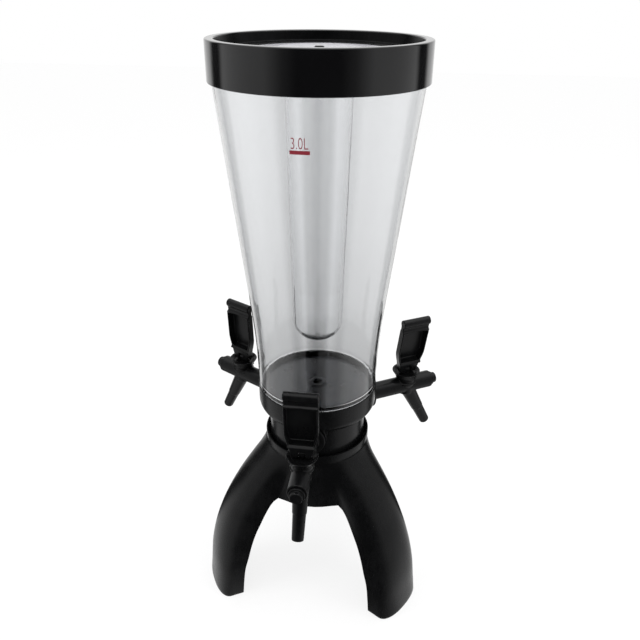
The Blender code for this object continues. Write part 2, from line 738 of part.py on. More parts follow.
def make_lever(name, holder, black, steel):
    """The lever about its pin: a blade with a rolled end and two returns, on a forked foot."""
    half = lever_width / 2
    top = lever_length + roll_radius
    deep = ridge_reach + overrun
    right = [(foot_end_width / 2, -foot_radius), (foot_width / 2, 0), (waist_width / 2, waist_rise)]
    right += [(half, taper_rise), (half, top)]
    plan = right + [(-x, y) for x, y in right[::-1]]
    lever = solid(f"lever_{name}", upright(prism(plan, -deep, deep)), black, holder)

    foot = arc((0, 0), foot_radius, -180, 0, foot_bends)
    roll = arc((0, lever_length), roll_radius, -60, 240, roll_bends)
    side = foot + [(foot_radius, waist_rise - ridge_drop), (ridge_reach, waist_rise)]
    side += [(blade_front, waist_rise + ridge_drop), (blade_front, pocket_top)] + roll
    side += [(-blade_back, pocket_top), (-blade_back, waist_rise)]
    bm = upright(prism(side, -half - overrun, half + overrun))
    bm.transform(Matrix.Rotation(-pi / 2, 4, "Z"))
    combine(lever, helper(f"lever_side_{name}", bm, holder), "INTERSECT")

    pocket = half - return_width
    low_pocket = waist_width / 2 - return_width
    crown = []
    for step in range(pocket_bends + 1):
        across = 1 - 2 * step / pocket_bends
        crown.append((pocket * across, pocket_top - pocket_crown * across * across))
    outline = [(-low_pocket, waist_rise + ridge_drop), (low_pocket, waist_rise + ridge_drop)]
    outline += [(pocket, taper_rise)] + crown + [(-pocket, taper_rise)]
    bm = upright(prism(outline, -pocket_floor, deep))
    combine(lever, helper(f"lever_pocket_{name}", bm, holder))

    slot = eye_width / 2 + slot_clearance
    low = -foot_radius - overrun
    outline = [(-slot, low), (slot, low), (slot, slot_rise), (-slot, slot_rise)]
    bm = upright(prism(outline, -deep, deep))
    combine(lever, helper(f"lever_slot_{name}", bm, holder))

    across = Matrix.Rotation(pi / 2, 4, "Y")
    end = foot_width / 2 - pin_inset
    hole = pin_radius + running_gap
    bm = turned([(0, -half), (hole, -half), (hole, half), (0, half)], bore_steps)
    bm.transform(across)
    combine(lever, helper(f"pin_bore_{name}", bm, holder))
    bm = turned([(0, -end), (pin_radius, -end), (pin_radius, end), (0, end)], bore_steps)
    bm.transform(across)
    solid(f"lever_pin_{name}", bm, steel, holder)


def build():
    clear_scene()
    black = finish("satin_black", (0.012, 0.012, 0.013), 0.38)
    gloss = finish("gloss_black", (0.009, 0.009, 0.010), 0.14)
    clear = finish("clear_plastic", (0.86, 0.88, 0.89), 0.06, alpha=0.3)
    grey = finish("floor_grey", (0.07, 0.075, 0.085), 0.25)
    rubber = finish("black_rubber", (0.015, 0.015, 0.015), 0.7)
    nylon = finish("nylon", (0.75, 0.74, 0.70), 0.45)
    steel = finish("steel", (0.62, 0.63, 0.64), 0.25, metallic=1)

    dispenser = empty("dispenser", place=(0, axis_back, 0))
    stand_holder = empty("stand", dispenser, turn=(0, 0, pi / 3 + leg_turn))
    make_stand(stand_holder, black)
    make_pads(stand_holder, rubber)

    tower = empty("tower", dispenser)
    make_centring_ring(tower, rubber)
    taps = []
    for name, turn in zip(tap_names, tap_turns):
        taps.append((name, empty(f"tap_{name}", tower, turn=(0, 0, turn))))
    make_base(tower, black, taps)
    make_floor(tower, grey, rubber)
    make_reservoir(tower, clear)

    cover = empty("cover", tower)
    make_top(cover, gloss, rubber)
    tube_holder = empty("ice_tube_axis", cover)
    make_ice_tube(tube_holder, empty("lid_axis", tube_holder), clear, black)

    for (name, holder), swivel, lean in zip(taps, swivels, lever_leans):
        make_tap_body(name, holder, black)
        make_tap_fittings(name, holder, black, rubber, nylon)
        valve = empty(f"valve_{name}_axis", holder, (0, -tap_reach, 0), (0, 0, swivel))
        make_valve(name, valve, black, rubber, steel)
        hinge = empty(f"lever_{name}_axis", valve, (0, 0, pin_height), (lean, 0, 0))
        make_lever(name, hinge, black, steel)
    bpy.context.view_layer.update()


build()
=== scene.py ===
from math import atan2, cos, hypot, pi, radians, sin

import bmesh
import bpy
from mathutils import Matrix, Vector


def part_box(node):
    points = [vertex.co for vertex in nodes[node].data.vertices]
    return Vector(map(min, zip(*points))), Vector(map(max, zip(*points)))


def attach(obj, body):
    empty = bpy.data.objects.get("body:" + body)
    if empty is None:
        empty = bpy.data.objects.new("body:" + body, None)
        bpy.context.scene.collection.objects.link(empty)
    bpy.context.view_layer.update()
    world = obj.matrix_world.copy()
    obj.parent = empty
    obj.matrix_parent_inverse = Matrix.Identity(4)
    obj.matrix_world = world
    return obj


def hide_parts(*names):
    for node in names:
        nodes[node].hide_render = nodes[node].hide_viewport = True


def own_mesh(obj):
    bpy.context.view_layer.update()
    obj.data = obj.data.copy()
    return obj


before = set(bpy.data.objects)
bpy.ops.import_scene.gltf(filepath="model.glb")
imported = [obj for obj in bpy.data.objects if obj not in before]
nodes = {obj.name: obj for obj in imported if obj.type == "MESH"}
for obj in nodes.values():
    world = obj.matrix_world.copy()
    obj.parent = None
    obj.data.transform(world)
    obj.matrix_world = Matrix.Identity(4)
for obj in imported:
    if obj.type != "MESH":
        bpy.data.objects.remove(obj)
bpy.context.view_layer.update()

low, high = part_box("reservoir")
axis = Vector((0, (low.y + high.y) / 2, 0))   # the tower's
scene = bpy.context.scene


# Shader maths: a value stands for a socket, and sums on it add Math nodes

class Value:
    def __init__(self, paint, socket):
        self.paint = paint
        self.socket = socket

    def __add__(self, other):
        return self.paint.maths("ADD", self, other)

    def __radd__(self, other):
        return self.paint.maths("ADD", other, self)

    def __sub__(self, other):
        return self.paint.maths("SUBTRACT", self, other)

    def __rsub__(self, other):
        return self.paint.maths("SUBTRACT", other, self)

    def __mul__(self, other):
        return self.paint.maths("MULTIPLY", self, other)

    def __rmul__(self, other):
        return self.paint.maths("MULTIPLY", other, self)

    def __truediv__(self, other):
        return self.paint.maths("DIVIDE", self, other)


class Paint:
    # One node tree being filled: a material's or the world's
    def __init__(self, tree):
        self.tree = tree

    def add(self, kind, settings=None, inputs=None, output=0):
        # A ramp's stops are (place, grey level) pairs
        node = self.tree.nodes.new(kind)
        for name, value in (settings or {}).items():
            if name == "stops":
                ramp = node.color_ramp
                while len(ramp.elements) < len(value):
                    ramp.elements.new(1)
                for element, (place, level) in zip(ramp.elements, value):
                    element.position = place
                    element.color = (level, level, level, 1)
            else:
                setattr(node, name, value)
        for name, value in (inputs or {}).items():
            self.feed(node.inputs[name], value)
        return Value(self, node.outputs[output])

    def feed(self, socket, value):
        if isinstance(value, Value):
            self.tree.links.new(value.socket, socket)
        else:
            socket.default_value = value

    def maths(self, operation, first, second=0.0):
        return self.add("ShaderNodeMath", {"operation": operation}, {0: first, 1: second})

    def place(self):
        return self.add("ShaderNodeTexCoord", output="Object")

    def split(self, vector):
        parts = self.add("ShaderNodeSeparateXYZ", {}, {0: vector}).socket.node
        return [Value(self, output) for output in parts.outputs]

    def noise(self, scale, detail=3.0, stretch=(1, 1, 1), seed=0.0):
        moved = self.add("ShaderNodeMapping", {}, {"Vector": self.place(), "Scale": stretch,
                         "Location": (seed, seed, seed)})
        return self.add("ShaderNodeTexNoise", {}, {"Vector": moved, "Scale": scale, "Detail": detail})

    def blend(self, amount, first, second):
        return self.add("ShaderNodeMix", {"data_type": "RGBA"},
                        {"Factor": amount, 6: (*first, 1), 7: (*second, 1)}, output=2)

    def spread(self, value, low, high):
        return self.add("ShaderNodeMapRange", {}, {"Value": value, "From Min": low, "From Max": high})

    def ramp(self, value, stops):
        return self.add("ShaderNodeValToRGB", {"stops": stops}, {"Fac": value})

    def bump(self, height, depth, strength):
        return self.add("ShaderNodeBump", {}, {"Height": height, "Distance": depth,
                        "Strength": strength})

    def glow(self, colour):
        return self.add("ShaderNodeEmission", {}, {"Color": colour, "Strength": 1.0})

    def mixed(self, amount, first, second):
        return self.add("ShaderNodeMixShader", {}, {0: amount, 1: first, 2: second})

    def rays(self):
        return [self.add("ShaderNodeLightPath", output=f"Is {kind} Ray")
                for kind in ("Camera", "Transmission", "Glossy")]


class Finish(Paint):
    # A new material, with what is the same all over it set on its shader
    def __init__(self, name, fixed):
        self.material = bpy.data.materials.new(name)
        self.material.use_nodes = True
        super().__init__(self.material.node_tree)
        self.shader = self.tree.nodes["Principled BSDF"]
        for socket, value in fixed.items():
            self.shader.inputs[socket].default_value = value

    def end(self, fed):
        for socket, value in fed.items():
            self.feed(self.shader.inputs[socket], value)
        return self.material


# Moulded black plastic: fine spark grain, faint handling marks and a little dust-dulled sheen
satin = {"colour": (0.0026, 0.0027, 0.0029), "worn": (0.0046, 0.0047, 0.0050), "roughness": 0.22,
         "wornRough": 0.06, "grainRough": 0.04, "grainScale": 2200, "grainDepth": 0.00003,
         "grainStrength": 0.35, "marksScale": 38, "marksShare": 0.7, "scuffsScale": 342,
         "scuffsShare": 0.3, "wornLow": 0.42, "wornHigh": 0.62, "specular": 0.125}


def mouldedBlack(name, look):
    paint = Finish(name, {"Specular IOR Level": look["specular"]})
    grain = paint.noise(look["grainScale"], 2.0)
    marks = paint.noise(look["marksScale"], 5.0, seed=3.1)
    scuffs = paint.noise(look["scuffsScale"], 3.0, stretch=(1, 1, 0.16), seed=7.7)
    worn = paint.spread(marks * look["marksShare"] + scuffs * look["scuffsShare"],
                        look["wornLow"], look["wornHigh"])
    return paint.end({"Base Color": paint.blend(worn, look["colour"], look["worn"]),
                      "Roughness": look["roughness"] + worn * look["wornRough"] + grain * look["grainRough"],
                      "Normal": paint.bump(grain, look["grainDepth"], look["grainStrength"])})


# Polished black of the top ring, with the faint flow that a large moulding shows
polish = {"colour": (0.0022, 0.0022, 0.0025), "bright": 1.5, "roughness": 0.085, "dullRough": 0.05,
          "coat": 0.14, "dullCoat": 0.08, "coatRough": 0.04, "specular": 0.30, "flowScale": 26,
          "flowShare": 0.6, "flowDepth": 0.0002, "flowStrength": 0.25, "fineScale": 1040,
          "fineShare": 0.4, "dullLow": 0.4, "dullHigh": 0.65}


def polishedBlack(name, look):
    paint = Finish(name, {"Specular IOR Level": look["specular"], "Coat Roughness": look["coatRough"]})
    flow = paint.noise(look["flowScale"], 1.0, stretch=(1, 1, 0.5))
    fine = paint.noise(look["fineScale"], 3.0, seed=5.5)
    dulled = paint.spread(flow * look["flowShare"] + fine * look["fineShare"],
                          look["dullLow"], look["dullHigh"])
    bright = tuple(part * look["bright"] for part in look["colour"])
    return paint.end({"Base Color": paint.blend(dulled, look["colour"], bright),
                      "Roughness": look["roughness"] + dulled * look["dullRough"],
                      "Coat Weight": look["coat"] + dulled * look["dullCoat"],
                      "Normal": paint.bump(flow, look["flowDepth"], look["flowStrength"])})


# Clear plastic of the reservoir, tube and lid: faint upright flow lines from the mould, painted shade
# at the limb, and painted reflections as grey streaks by the turn in degrees from the side the camera
# faces. Painted shade also darkens the middle of the wall's lower part.
clear = {"tint": (0.900, 0.907, 0.915), "hazeTint": 0.985, "roughness": 0.012, "hazeRough": 0.02,
         "lines": 95, "lineDepth": 0.0004, "lineStrength": 0.2, "haze": 570, "hazeLow": 0.35,
         "hazeHigh": 0.7, "through": 1.0, "index": 1.49, "limbShade": 0.30, "limbLow": 0.78,
         "limbHigh": 0.97, "shadeLow": 0.262, "shadeHigh": 0.345, "shadeIn": 0.06, "shadeOut": 0.15,
         "paintedShade": 0.55, "facing": 7.2, "wander": 0.006,
         "reflectionStreaks": ((-180, 1.0), (-150, 0.95), (-118, 1.0), (-92, 0.93), (-64, 0.80), (-52, 0.95),
                     (-38, 1.0), (-25, 0.97), (-17, 0.80), (-10, 1.0), (-6, 0.78), (-1, 0.68),
                     (5, 0.76), (10.5, 1.0), (17.5, 0.86), (24, 0.97), (41, 1.0), (60, 0.93),
                     (72, 0.80), (100, 1.0), (140, 0.95), (180, 1.0))}
plainClear = {**clear, "tint": (0.990, 0.992, 0.995), "reflectionStreaks": ((-180, 1.0), (180, 1.0)),
              "index": 1.44, "limbShade": 0.22, "paintedShade": 0.0}
milkyClear = {**plainClear, "tint": (0.72, 0.71, 0.76), "roughness": 0.22, "through": 0.40}


def clearPlastic(name, look):
    paint = Finish(name, {"Transmission Weight": look["through"], "IOR": look["index"]})
    lines = paint.noise(look["lines"], 2.0, stretch=(1, 1, 0.02))
    haze = paint.noise(look["haze"], 4.0, stretch=(1, 1, 0.3), seed=2.2)
    haze = paint.spread(haze, look["hazeLow"], look["hazeHigh"])
    turn = radians(look["facing"])
    x, y, height = paint.split(paint.place())
    y = y - axis.y
    side = paint.maths("ARCTAN2", x * cos(turn) + y * sin(turn), x * sin(turn) - y * cos(turn))
    around = side / (2 * pi) + 0.5 + lines * look["wander"] - look["wander"] / 2
    # Painted reflections: lighter and darker grey streaks by the turn around the tower
    reflectionStreak = paint.ramp(around, [((angle + 180) / 360, level) for angle, level in look["reflectionStreaks"]])
    reflectionStreak.socket.node.color_ramp.interpolation = "EASE"
    # Painted shade: darker where the wall is seen edge-on
    grazing = paint.add("ShaderNodeLayerWeight", {}, {"Blend": 0.5}, output="Facing")
    limbShade = 1 - paint.spread(grazing, look["limbLow"], look["limbHigh"]) * look["limbShade"]
    # Painted shade: darker in the middle of the wall's lower part, on the side the camera faces
    lower = paint.spread(height, look["shadeHigh"], look["shadeLow"]) * look["paintedShade"]
    middle = paint.spread(paint.maths("ABSOLUTE", side), look["shadeOut"], look["shadeIn"])
    shadeFactor = 1 - middle * lower
    tint = paint.blend(haze, look["tint"], tuple(part * look["hazeTint"] for part in look["tint"]))
    shaded = paint.add("ShaderNodeMix", {"data_type": "RGBA", "blend_type": "MULTIPLY"},
                       {"Factor": 1.0, 6: tint, 7: reflectionStreak * (limbShade * shadeFactor)}, output=2)
    return paint.end({"Base Color": shaded, "Roughness": look["roughness"] + haze * look["hazeRough"],
                      "Normal": paint.bump(lines, look["lineDepth"], look["lineStrength"])})


# Dark grey of the floor plate, a little cloudy
floorGrey = {"colour": (0.033, 0.036, 0.045), "deep": (0.022, 0.024, 0.031), "roughness": 0.14,
             "cloudRough": 0.08, "cloudScale": 45, "deepLow": 0.35, "deepHigh": 0.65,
             "grainScale": 1500, "grainDepth": 0.00002, "grainStrength": 0.2, "specular": 0.5}


def floorPlastic(name, look):
    paint = Finish(name, {"Specular IOR Level": look["specular"]})
    cloud = paint.noise(look["cloudScale"], 4.0)
    grain = paint.noise(look["grainScale"], 2.0)
    deep = paint.spread(cloud, look["deepLow"], look["deepHigh"])
    return paint.end({"Base Color": paint.blend(deep, look["colour"], look["deep"]),
                      "Roughness": look["roughness"] + cloud * look["cloudRough"],
                      "Normal": paint.bump(grain, look["grainDepth"], look["grainStrength"])})


# Rubber, nylon, steel and ink: one noise moves the colour, the roughness and a fine bump
dullRubber = {"fixed": {"Specular IOR Level": 0.3}, "scale": 900, "detail": 4.0, "drawn": 1,
              "colour": (0.010, 0.010, 0.010), "other": (0.022, 0.022, 0.021),
              "roughness": 0.62, "rougher": 0.25, "depth": 0.00006, "strength": 0.4}
naturalNylon = {"fixed": {"Subsurface Weight": 0.1}, "scale": 160, "detail": 4.0, "drawn": 1,
                "colour": (0.70, 0.69, 0.64), "other": (0.80, 0.79, 0.75),
                "roughness": 0.40, "rougher": 0.14, "depth": 0.00005, "strength": 0.3}
drawnSteel = {"fixed": {}, "scale": 700, "detail": 3.0, "drawn": 0.2, "metal": 0.94,
              "colour": (0.56, 0.57, 0.58), "other": (0.68, 0.68, 0.67),
              "roughness": 0.18, "rougher": 0.2, "depth": 0.00003, "strength": 0.3}
printedInk = {"fixed": {"Specular IOR Level": 0.4}, "scale": 2600, "detail": 2.0, "drawn": 1,
              "colour": (0.17, 0.004, 0.014), "other": (0.22, 0.008, 0.020),
              "roughness": 0.42, "rougher": 0.15, "depth": 0.00002, "strength": 0.3}


def clouded(name, look):
    paint = Finish(name, look["fixed"])
    cloud = paint.noise(look["scale"], look["detail"], stretch=(1, 1, look["drawn"]))
    if "metal" in look:
        paint.end({"Metallic": look["metal"] + cloud * (1 - look["metal"])})
    return paint.end({"Base Color": paint.blend(cloud, look["colour"], look["other"]),
                      "Roughness": look["roughness"] + cloud * look["rougher"],
                      "Normal": paint.bump(cloud, look["depth"], look["strength"])})


satinBlack = mouldedBlack("satin_black", satin)
tapBlack = mouldedBlack("tap_black", {**satin, "roughness": 0.25, "grainScale": 3000})
ringBlack = polishedBlack("ring_black", polish)
# A duller copy of the satin black: painted shade for the top ring's recess
recessShadeBlack = mouldedBlack("recess_shade_black", {**satin, "specular": 0.05})
clearWall = clearPlastic("clear_wall", clear)
clearTube = clearPlastic("clear_tube", plainClear)
clearLid = clearPlastic("clear_lid", milkyClear)
floorPaint = floorPlastic("floor_grey", floorGrey)
rubber = clouded("dull_rubber", dullRubber)
nylon = clouded("natural_nylon", naturalNylon)
steel = clouded("drawn_steel", drawnSteel)
markInk = clouded("mark_ink", printedInk)
print("materials:", len(bpy.data.materials))


# Geometry Nodes: one tree turns a profile about Z, and one winds a spring
weld = 0.000002   # points nearer than this are one


class Grower:
    # Fills a geometry tree, with its inputs in the order they are named
    def __init__(self, name, inputs):
        self.tree = bpy.data.node_groups.new(name, "GeometryNodeTree")
        self.tree.interface.new_socket("Geometry", in_out="INPUT", socket_type="NodeSocketGeometry")
        for label, kind in inputs:
            self.tree.interface.new_socket(label, in_out="INPUT", socket_type=kind)
        self.tree.interface.new_socket("Geometry", in_out="OUTPUT", socket_type="NodeSocketGeometry")
        self.start = self.tree.nodes.new("NodeGroupInput")

    def add(self, kind, settings=None, inputs=None, output=0):
        node = self.tree.nodes.new(kind)
        for name, value in (settings or {}).items():
            setattr(node, name, value)
        for name, value in (inputs or {}).items():
            if isinstance(value, bpy.types.NodeSocket):
                self.tree.links.new(value, node.inputs[name])
            else:
                node.inputs[name].default_value = value
        return node.outputs[output]

    def maths(self, operation, first, second=0.0):
        return self.add("ShaderNodeMath", {"operation": operation}, {0: first, 1: second})

    def asked(self, label):
        return self.start.outputs[label]

    def end(self, geometry):
        real = self.add("GeometryNodeRealizeInstances", {}, {"Geometry": geometry})
        painted = self.add("GeometryNodeSetMaterial", {}, {"Geometry": real,
                           "Material": self.asked("Material")})
        last = self.tree.nodes.new("NodeGroupOutput")
        self.tree.links.new(painted, last.inputs["Geometry"])
        return self.tree


def turningTree():
    grow = Grower("turning", [("Profile", "NodeSocketObject"), ("Rows", "NodeSocketInt"),
                              ("Steps", "NodeSocketInt"), ("Material", "NodeSocketMaterial")])
    profile = grow.add("GeometryNodeObjectInfo", {"transform_space": "ORIGINAL"},
                       {"Object": grow.asked("Profile")}, output="Geometry")
    around = grow.maths("ADD", grow.asked("Steps"), 1.0)
    grid = grow.add("GeometryNodeMeshGrid", {}, {"Size X": 1.0, "Size Y": 1.0,
                    "Vertices X": around, "Vertices Y": grow.asked("Rows")})
    place = grow.add("GeometryNodeInputPosition")
    split = grow.tree.nodes.new("ShaderNodeSeparateXYZ")
    grow.tree.links.new(place, split.inputs[0])
    angle = grow.maths("MULTIPLY", grow.maths("ADD", split.outputs["X"], 0.5), 2 * pi)
    gaps = grow.maths("SUBTRACT", grow.asked("Rows"), 1.0)
    row = grow.maths("ROUND", grow.maths("MULTIPLY", grow.maths("ADD", split.outputs["Y"], 0.5), gaps))
    point = grow.add("GeometryNodeSampleIndex", {"data_type": "FLOAT_VECTOR", "domain": "POINT"},
                     {"Geometry": profile, "Value": place, "Index": row})
    rim = grow.tree.nodes.new("ShaderNodeSeparateXYZ")
    grow.tree.links.new(point, rim.inputs[0])
    across = grow.maths("MULTIPLY", rim.outputs["X"], grow.maths("SINE", angle))
    along = grow.maths("MULTIPLY", rim.outputs["X"], grow.maths("COSINE", angle))
    along = grow.maths("MULTIPLY", along, -1.0)
    spot = grow.add("ShaderNodeCombineXYZ", {}, {"X": across, "Y": along, "Z": rim.outputs["Z"]})
    moved = grow.add("GeometryNodeSetPosition", {}, {"Geometry": grid, "Position": spot})
    joined = grow.add("GeometryNodeMergeByDistance", {}, {"Geometry": moved, "Distance": weld})
    return grow.end(joined)


def springTree():
    grow = Grower("spring", [("Radius", "NodeSocketFloat"), ("Wire", "NodeSocketFloat"),
                             ("Turns", "NodeSocketFloat"), ("Height", "NodeSocketFloat"),
                             ("Material", "NodeSocketMaterial")])
    coil = grow.add("GeometryNodeCurveSpiral", {}, {"Resolution": 24, "Rotations": grow.asked("Turns"),
                    "Start Radius": grow.asked("Radius"), "End Radius": grow.asked("Radius"),
                    "Height": grow.asked("Height")})
    wire = grow.add("GeometryNodeCurvePrimitiveCircle", {}, {"Resolution": 8,
                    "Radius": grow.asked("Wire")})
    solid = grow.add("GeometryNodeCurveToMesh", {}, {"Curve": coil, "Profile Curve": wire,
                     "Fill Caps": True})
    return grow.end(solid)


trees = {"turning": turningTree(), "spring": springTree()}


def linked(name, data):
    item = bpy.data.objects.new(name, data)
    scene.collection.objects.link(item)
    return item


def baked(item):
    # The plain mesh that an object's modifiers give, without the object
    bpy.context.view_layer.update()
    graph = bpy.context.evaluated_depsgraph_get()
    mesh = bpy.data.meshes.new_from_object(item.evaluated_get(graph), depsgraph=graph)
    bpy.data.objects.remove(item, do_unlink=True)
    return mesh


def asMesh(shape, name):
    mesh = bpy.data.meshes.new(name)
    shape.to_mesh(mesh)
    shape.free()
    return mesh


def grown(treeName, values):
    # Runs a tree on an empty mesh and gives what it makes
    holder = linked("growing", bpy.data.meshes.new("growing"))
    modifier = holder.modifiers.new("grow", "NODES")
    modifier.node_group = trees[treeName]
    for item in trees[treeName].interface.items_tree:
        if item.in_out == "INPUT" and item.name in values:
            modifier[item.identifier] = values[item.name]
    return baked(holder)


def facingOut(mesh):
    shape = bmesh.new()
    shape.from_mesh(mesh)
    bmesh.ops.remove_doubles(shape, verts=shape.verts, dist=weld)
    bmesh.ops.dissolve_degenerate(shape, edges=shape.edges, dist=weld / 4)
    bmesh.ops.recalc_face_normals(shape, faces=shape.faces)
    if shape.calc_volume(signed=True) < 0:
        bmesh.ops.reverse_faces(shape, faces=shape.faces)
    shape.to_mesh(mesh)
    shape.free()
    return mesh


def softened(points, bends=4, most=0.42, hold=0.15):
    # Rounds the corners of a profile: a point is (radius, height) or (radius, height, rounding).
    # A held row beside each rounding keeps the flats flat. Both ends stay as they are.
    made = [points[0][:2]]
    for before, here, after in zip(points, points[1:], points[2:]):
        size = here[2] if len(here) > 2 else 0
        back = Vector((before[0] - here[0], before[1] - here[1]))
        on = Vector((after[0] - here[0], after[1] - here[1]))
        reach = min(size, back.length * most, on.length * most)
        if reach <= 0:
            made.append(here[:2])
            continue
        corner = Vector(here[:2])
        start = corner + back.normalized() * reach
        end = corner + on.normalized() * reach
        made.append(tuple(start + back.normalized() * reach * hold))
        for step in range(bends + 1):
            t = step / bends
            made.append(tuple(start * (1 - t)**2 + corner * 2 * t * (1 - t) + end * t * t))
        made.append(tuple(end + on.normalized() * reach * hold))
    made.append(points[-1][:2])
    return made


def turned(outline, steps, material, closed=True):
    # A closed outline comes back to its first point; an open one starts and ends on the axis
    ring = list(outline)
    if closed:
        first, second = ring[0], ring[1]
        middle = ((first[0] + second[0]) / 2, (first[1] + second[1]) / 2)
        ring = [middle] + ring[1:] + [first, middle]
    points = softened(ring)
    profile = bpy.data.meshes.new("profile")
    profile.from_pydata([(x, 0, z) for x, z in points], [], [])
    carrier = linked("profile", profile)
    mesh = grown("turning", {"Profile": carrier, "Rows": len(points), "Steps": steps,
                             "Material": material})
    bpy.data.objects.remove(carrier, do_unlink=True)
    return facingOut(mesh)


def rod(radius, low, high, steps, material, edge=0):
    outline = [(0, low), (radius, low, edge), (radius, high, edge), (0, high)]
    return turned(outline, steps, material, closed=False)


def prism(points, low, high):
    shape = bmesh.new()
    rows = [[shape.verts.new((x, y, level)) for x, y in points] for level in (low, high)]
    for index in range(len(points)):
        after = (index + 1) % len(points)
        shape.faces.new((rows[0][index], rows[0][after], rows[1][after], rows[1][index]))
    shape.faces.new(rows[0][::-1])
    shape.faces.new(rows[1])
    return facingOut(asMesh(shape, "prism"))


def keep(name, mesh, body, replaced, material=None, place=None, sharp=None):
    # Makes a finished piece of a mesh that is drawn about its own axis, and sets it in place
    mesh.transform(place or Matrix.Translation(axis))
    mesh.shade_smooth()
    if sharp:
        mesh.set_sharp_from_angle(angle=radians(sharp))
    if material:
        mesh.materials.clear()
        mesh.materials.append(material)
    mesh.name = name
    piece = linked(name, mesh)
    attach(piece, body)
    if replaced:
        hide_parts(*replaced)
    return piece


def repainted(mesh, material, chosen):
    # Gives a second material to the faces that a rule picks by their radius and height
    mesh.materials.append(material)
    for face in mesh.polygons:
        if chosen(hypot(face.center.x, face.center.y), face.center.z):
            face.material_index = len(mesh.materials) - 1
    return mesh


def carved(base, steps):
    # Joins and cuts meshes in turn: steps are (operation, mesh)
    item = linked("scratch", base)
    others = []
    for operation, mesh in steps:
        others.append(linked("tool", mesh))
        modifier = item.modifiers.new("carve", "BOOLEAN")
        modifier.operation = operation
        modifier.solver = "EXACT"
        modifier.object = others[-1]
    mesh = baked(item)
    for other in others:
        bpy.data.objects.remove(other, do_unlink=True)
    return mesh


def melted(mesh, voxel, rounds):
    # Draws the pieces of a moulding into one skin with soft inner and outer corners
    item = linked("scratch", mesh)
    skin = item.modifiers.new("skin", "REMESH")
    skin.mode = "VOXEL"
    skin.voxel_size = voxel
    skin.adaptivity = 0
    soft = item.modifiers.new("soft", "SMOOTH")
    soft.factor = 0.5
    soft.iterations = rounds
    return baked(item)


def bevelled(mesh, width, segments, angle):
    item = linked("scratch", mesh)
    edge = item.modifiers.new("edge", "BEVEL")
    edge.width = width
    edge.segments = segments
    edge.limit_method = "ANGLE"
    edge.angle_limit = radians(angle)
    weigh = item.modifiers.new("weigh", "WEIGHTED_NORMAL")
    weigh.keep_sharp = True
    return baked(item)


def arcPoints(centre, radius, start, end, bends):
    angles = [radians(start + (end - start) * step / bends) for step in range(bends + 1)]
    return [(centre[0] + radius * cos(a), centre[1] + radius * sin(a)) for a in angles]


def smoothTable(table, share):
    # Reads (share, value) pairs as one smooth curve
    last = len(table) - 2
    place = max(index for index in range(last + 1) if table[index][0] <= share or index == 0)
    (left, start), (right, end) = table[place], table[place + 1]
    before = table[max(place - 1, 0)]
    after = table[min(place + 2, last + 1)]
    slopeIn = (end - before[1]) / (right - before[0])
    slopeOut = (after[1] - start) / (after[0] - left)
    width = right - left
    t = (share - left) / width
    return (start * (2 * t**3 - 3 * t**2 + 1) + slopeIn * width * (t**3 - 2 * t**2 + t)
            + end * (3 * t**2 - 2 * t**3) + slopeOut * width * (t**3 - t**2))


# Camera, solved from the rim, the feet and the taps; its lens is for a 36 mm sensor
view = {"place": (0.0710, -0.5388, 0.5991), "turn": 7.18, "down": 27.90, "roll": 0.43, "lens": 36.36,
        "sensor": 36, "near": 0.01}


def makeCamera(view):
    lens = bpy.data.cameras.new("camera")
    lens.lens = view["lens"]
    lens.sensor_width = view["sensor"]
    lens.clip_start = view["near"]
    camera = linked("camera", lens)
    turn = Matrix.Rotation(radians(view["turn"]), 4, "Z")
    tilt = Matrix.Rotation(radians(90 - view["down"]), 4, "X")
    roll = Matrix.Rotation(radians(view["roll"]), 4, "Z")
    camera.matrix_world = Matrix.Translation(view["place"]) @ turn @ tilt @ roll
    scene.camera = camera


# Studio: pale floor and surroundings, two tall soft boxes and one overhead. Gloss sees the cards,
# as (turn from the back as a share of a half circle, grey), and glass sees the floor's painted shade, greys
# that darken near the middle.
studio = {"floorSize": 9.0, "floorColour": 0.94, "floorFleck": (0.98, 0.98, 0.985), "fleckScale": 300,
          "floorRough": 0.9, "floorSpecular": 0.1, "floorGlow": 0.80,
          "surround": 1.0, "frontTurn": 7.2, "aim": (0, 0, 0.28),
          "cards": ((0.00, 1.00), (0.24, 1.00), (0.29, 0.04), (0.36, 0.04), (0.40, 1.00), (0.70, 0.92),
                    (0.80, 0.24), (0.88, 0.03), (1.00, 0.02)),
          "overhead": 3.2, "overheadLow": 0.58, "overheadHigh": 0.85,
          "floorShade": ((0.0, 0.50), (0.10, 0.64), (0.15, 0.80), (0.24, 0.91), (0.38, 0.97), (0.60, 1.0))}
lamps = [
    {"name": "left_box", "place": (-1.15, -0.55, 0.95), "size": (0.55, 1.10), "power": 7},
    {"name": "right_box", "place": (1.20, -0.30, 0.95), "size": (0.60, 1.10), "power": 6},
    {"name": "top_box", "place": (0.10, 0.30, 1.70), "size": (1.20, 0.90), "power": 8},
]


def reflectedCards(paint, place, look):
    # White behind, pale cards at both sides and the dark room in front
    turn = radians(look["frontTurn"])
    x, y, _ = paint.split(place)
    side = paint.maths("ARCTAN2", x * cos(turn) + y * sin(turn), y * cos(turn) - x * sin(turn))
    return paint.ramp(paint.maths("ABSOLUTE", side) / pi, look["cards"])


def makeLamp(look, aim):
    light = bpy.data.lights.new(look["name"], "AREA")
    light.shape = "RECTANGLE"
    light.size, light.size_y = look["size"]
    light.energy = look["power"]
    lamp = linked(look["name"], light)
    lamp.location = look["place"]
    lamp.rotation_euler = (Vector(aim) - lamp.location).to_track_quat("-Z", "Y").to_euler()
    lamp.visible_glossy = lamp.visible_transmission = False


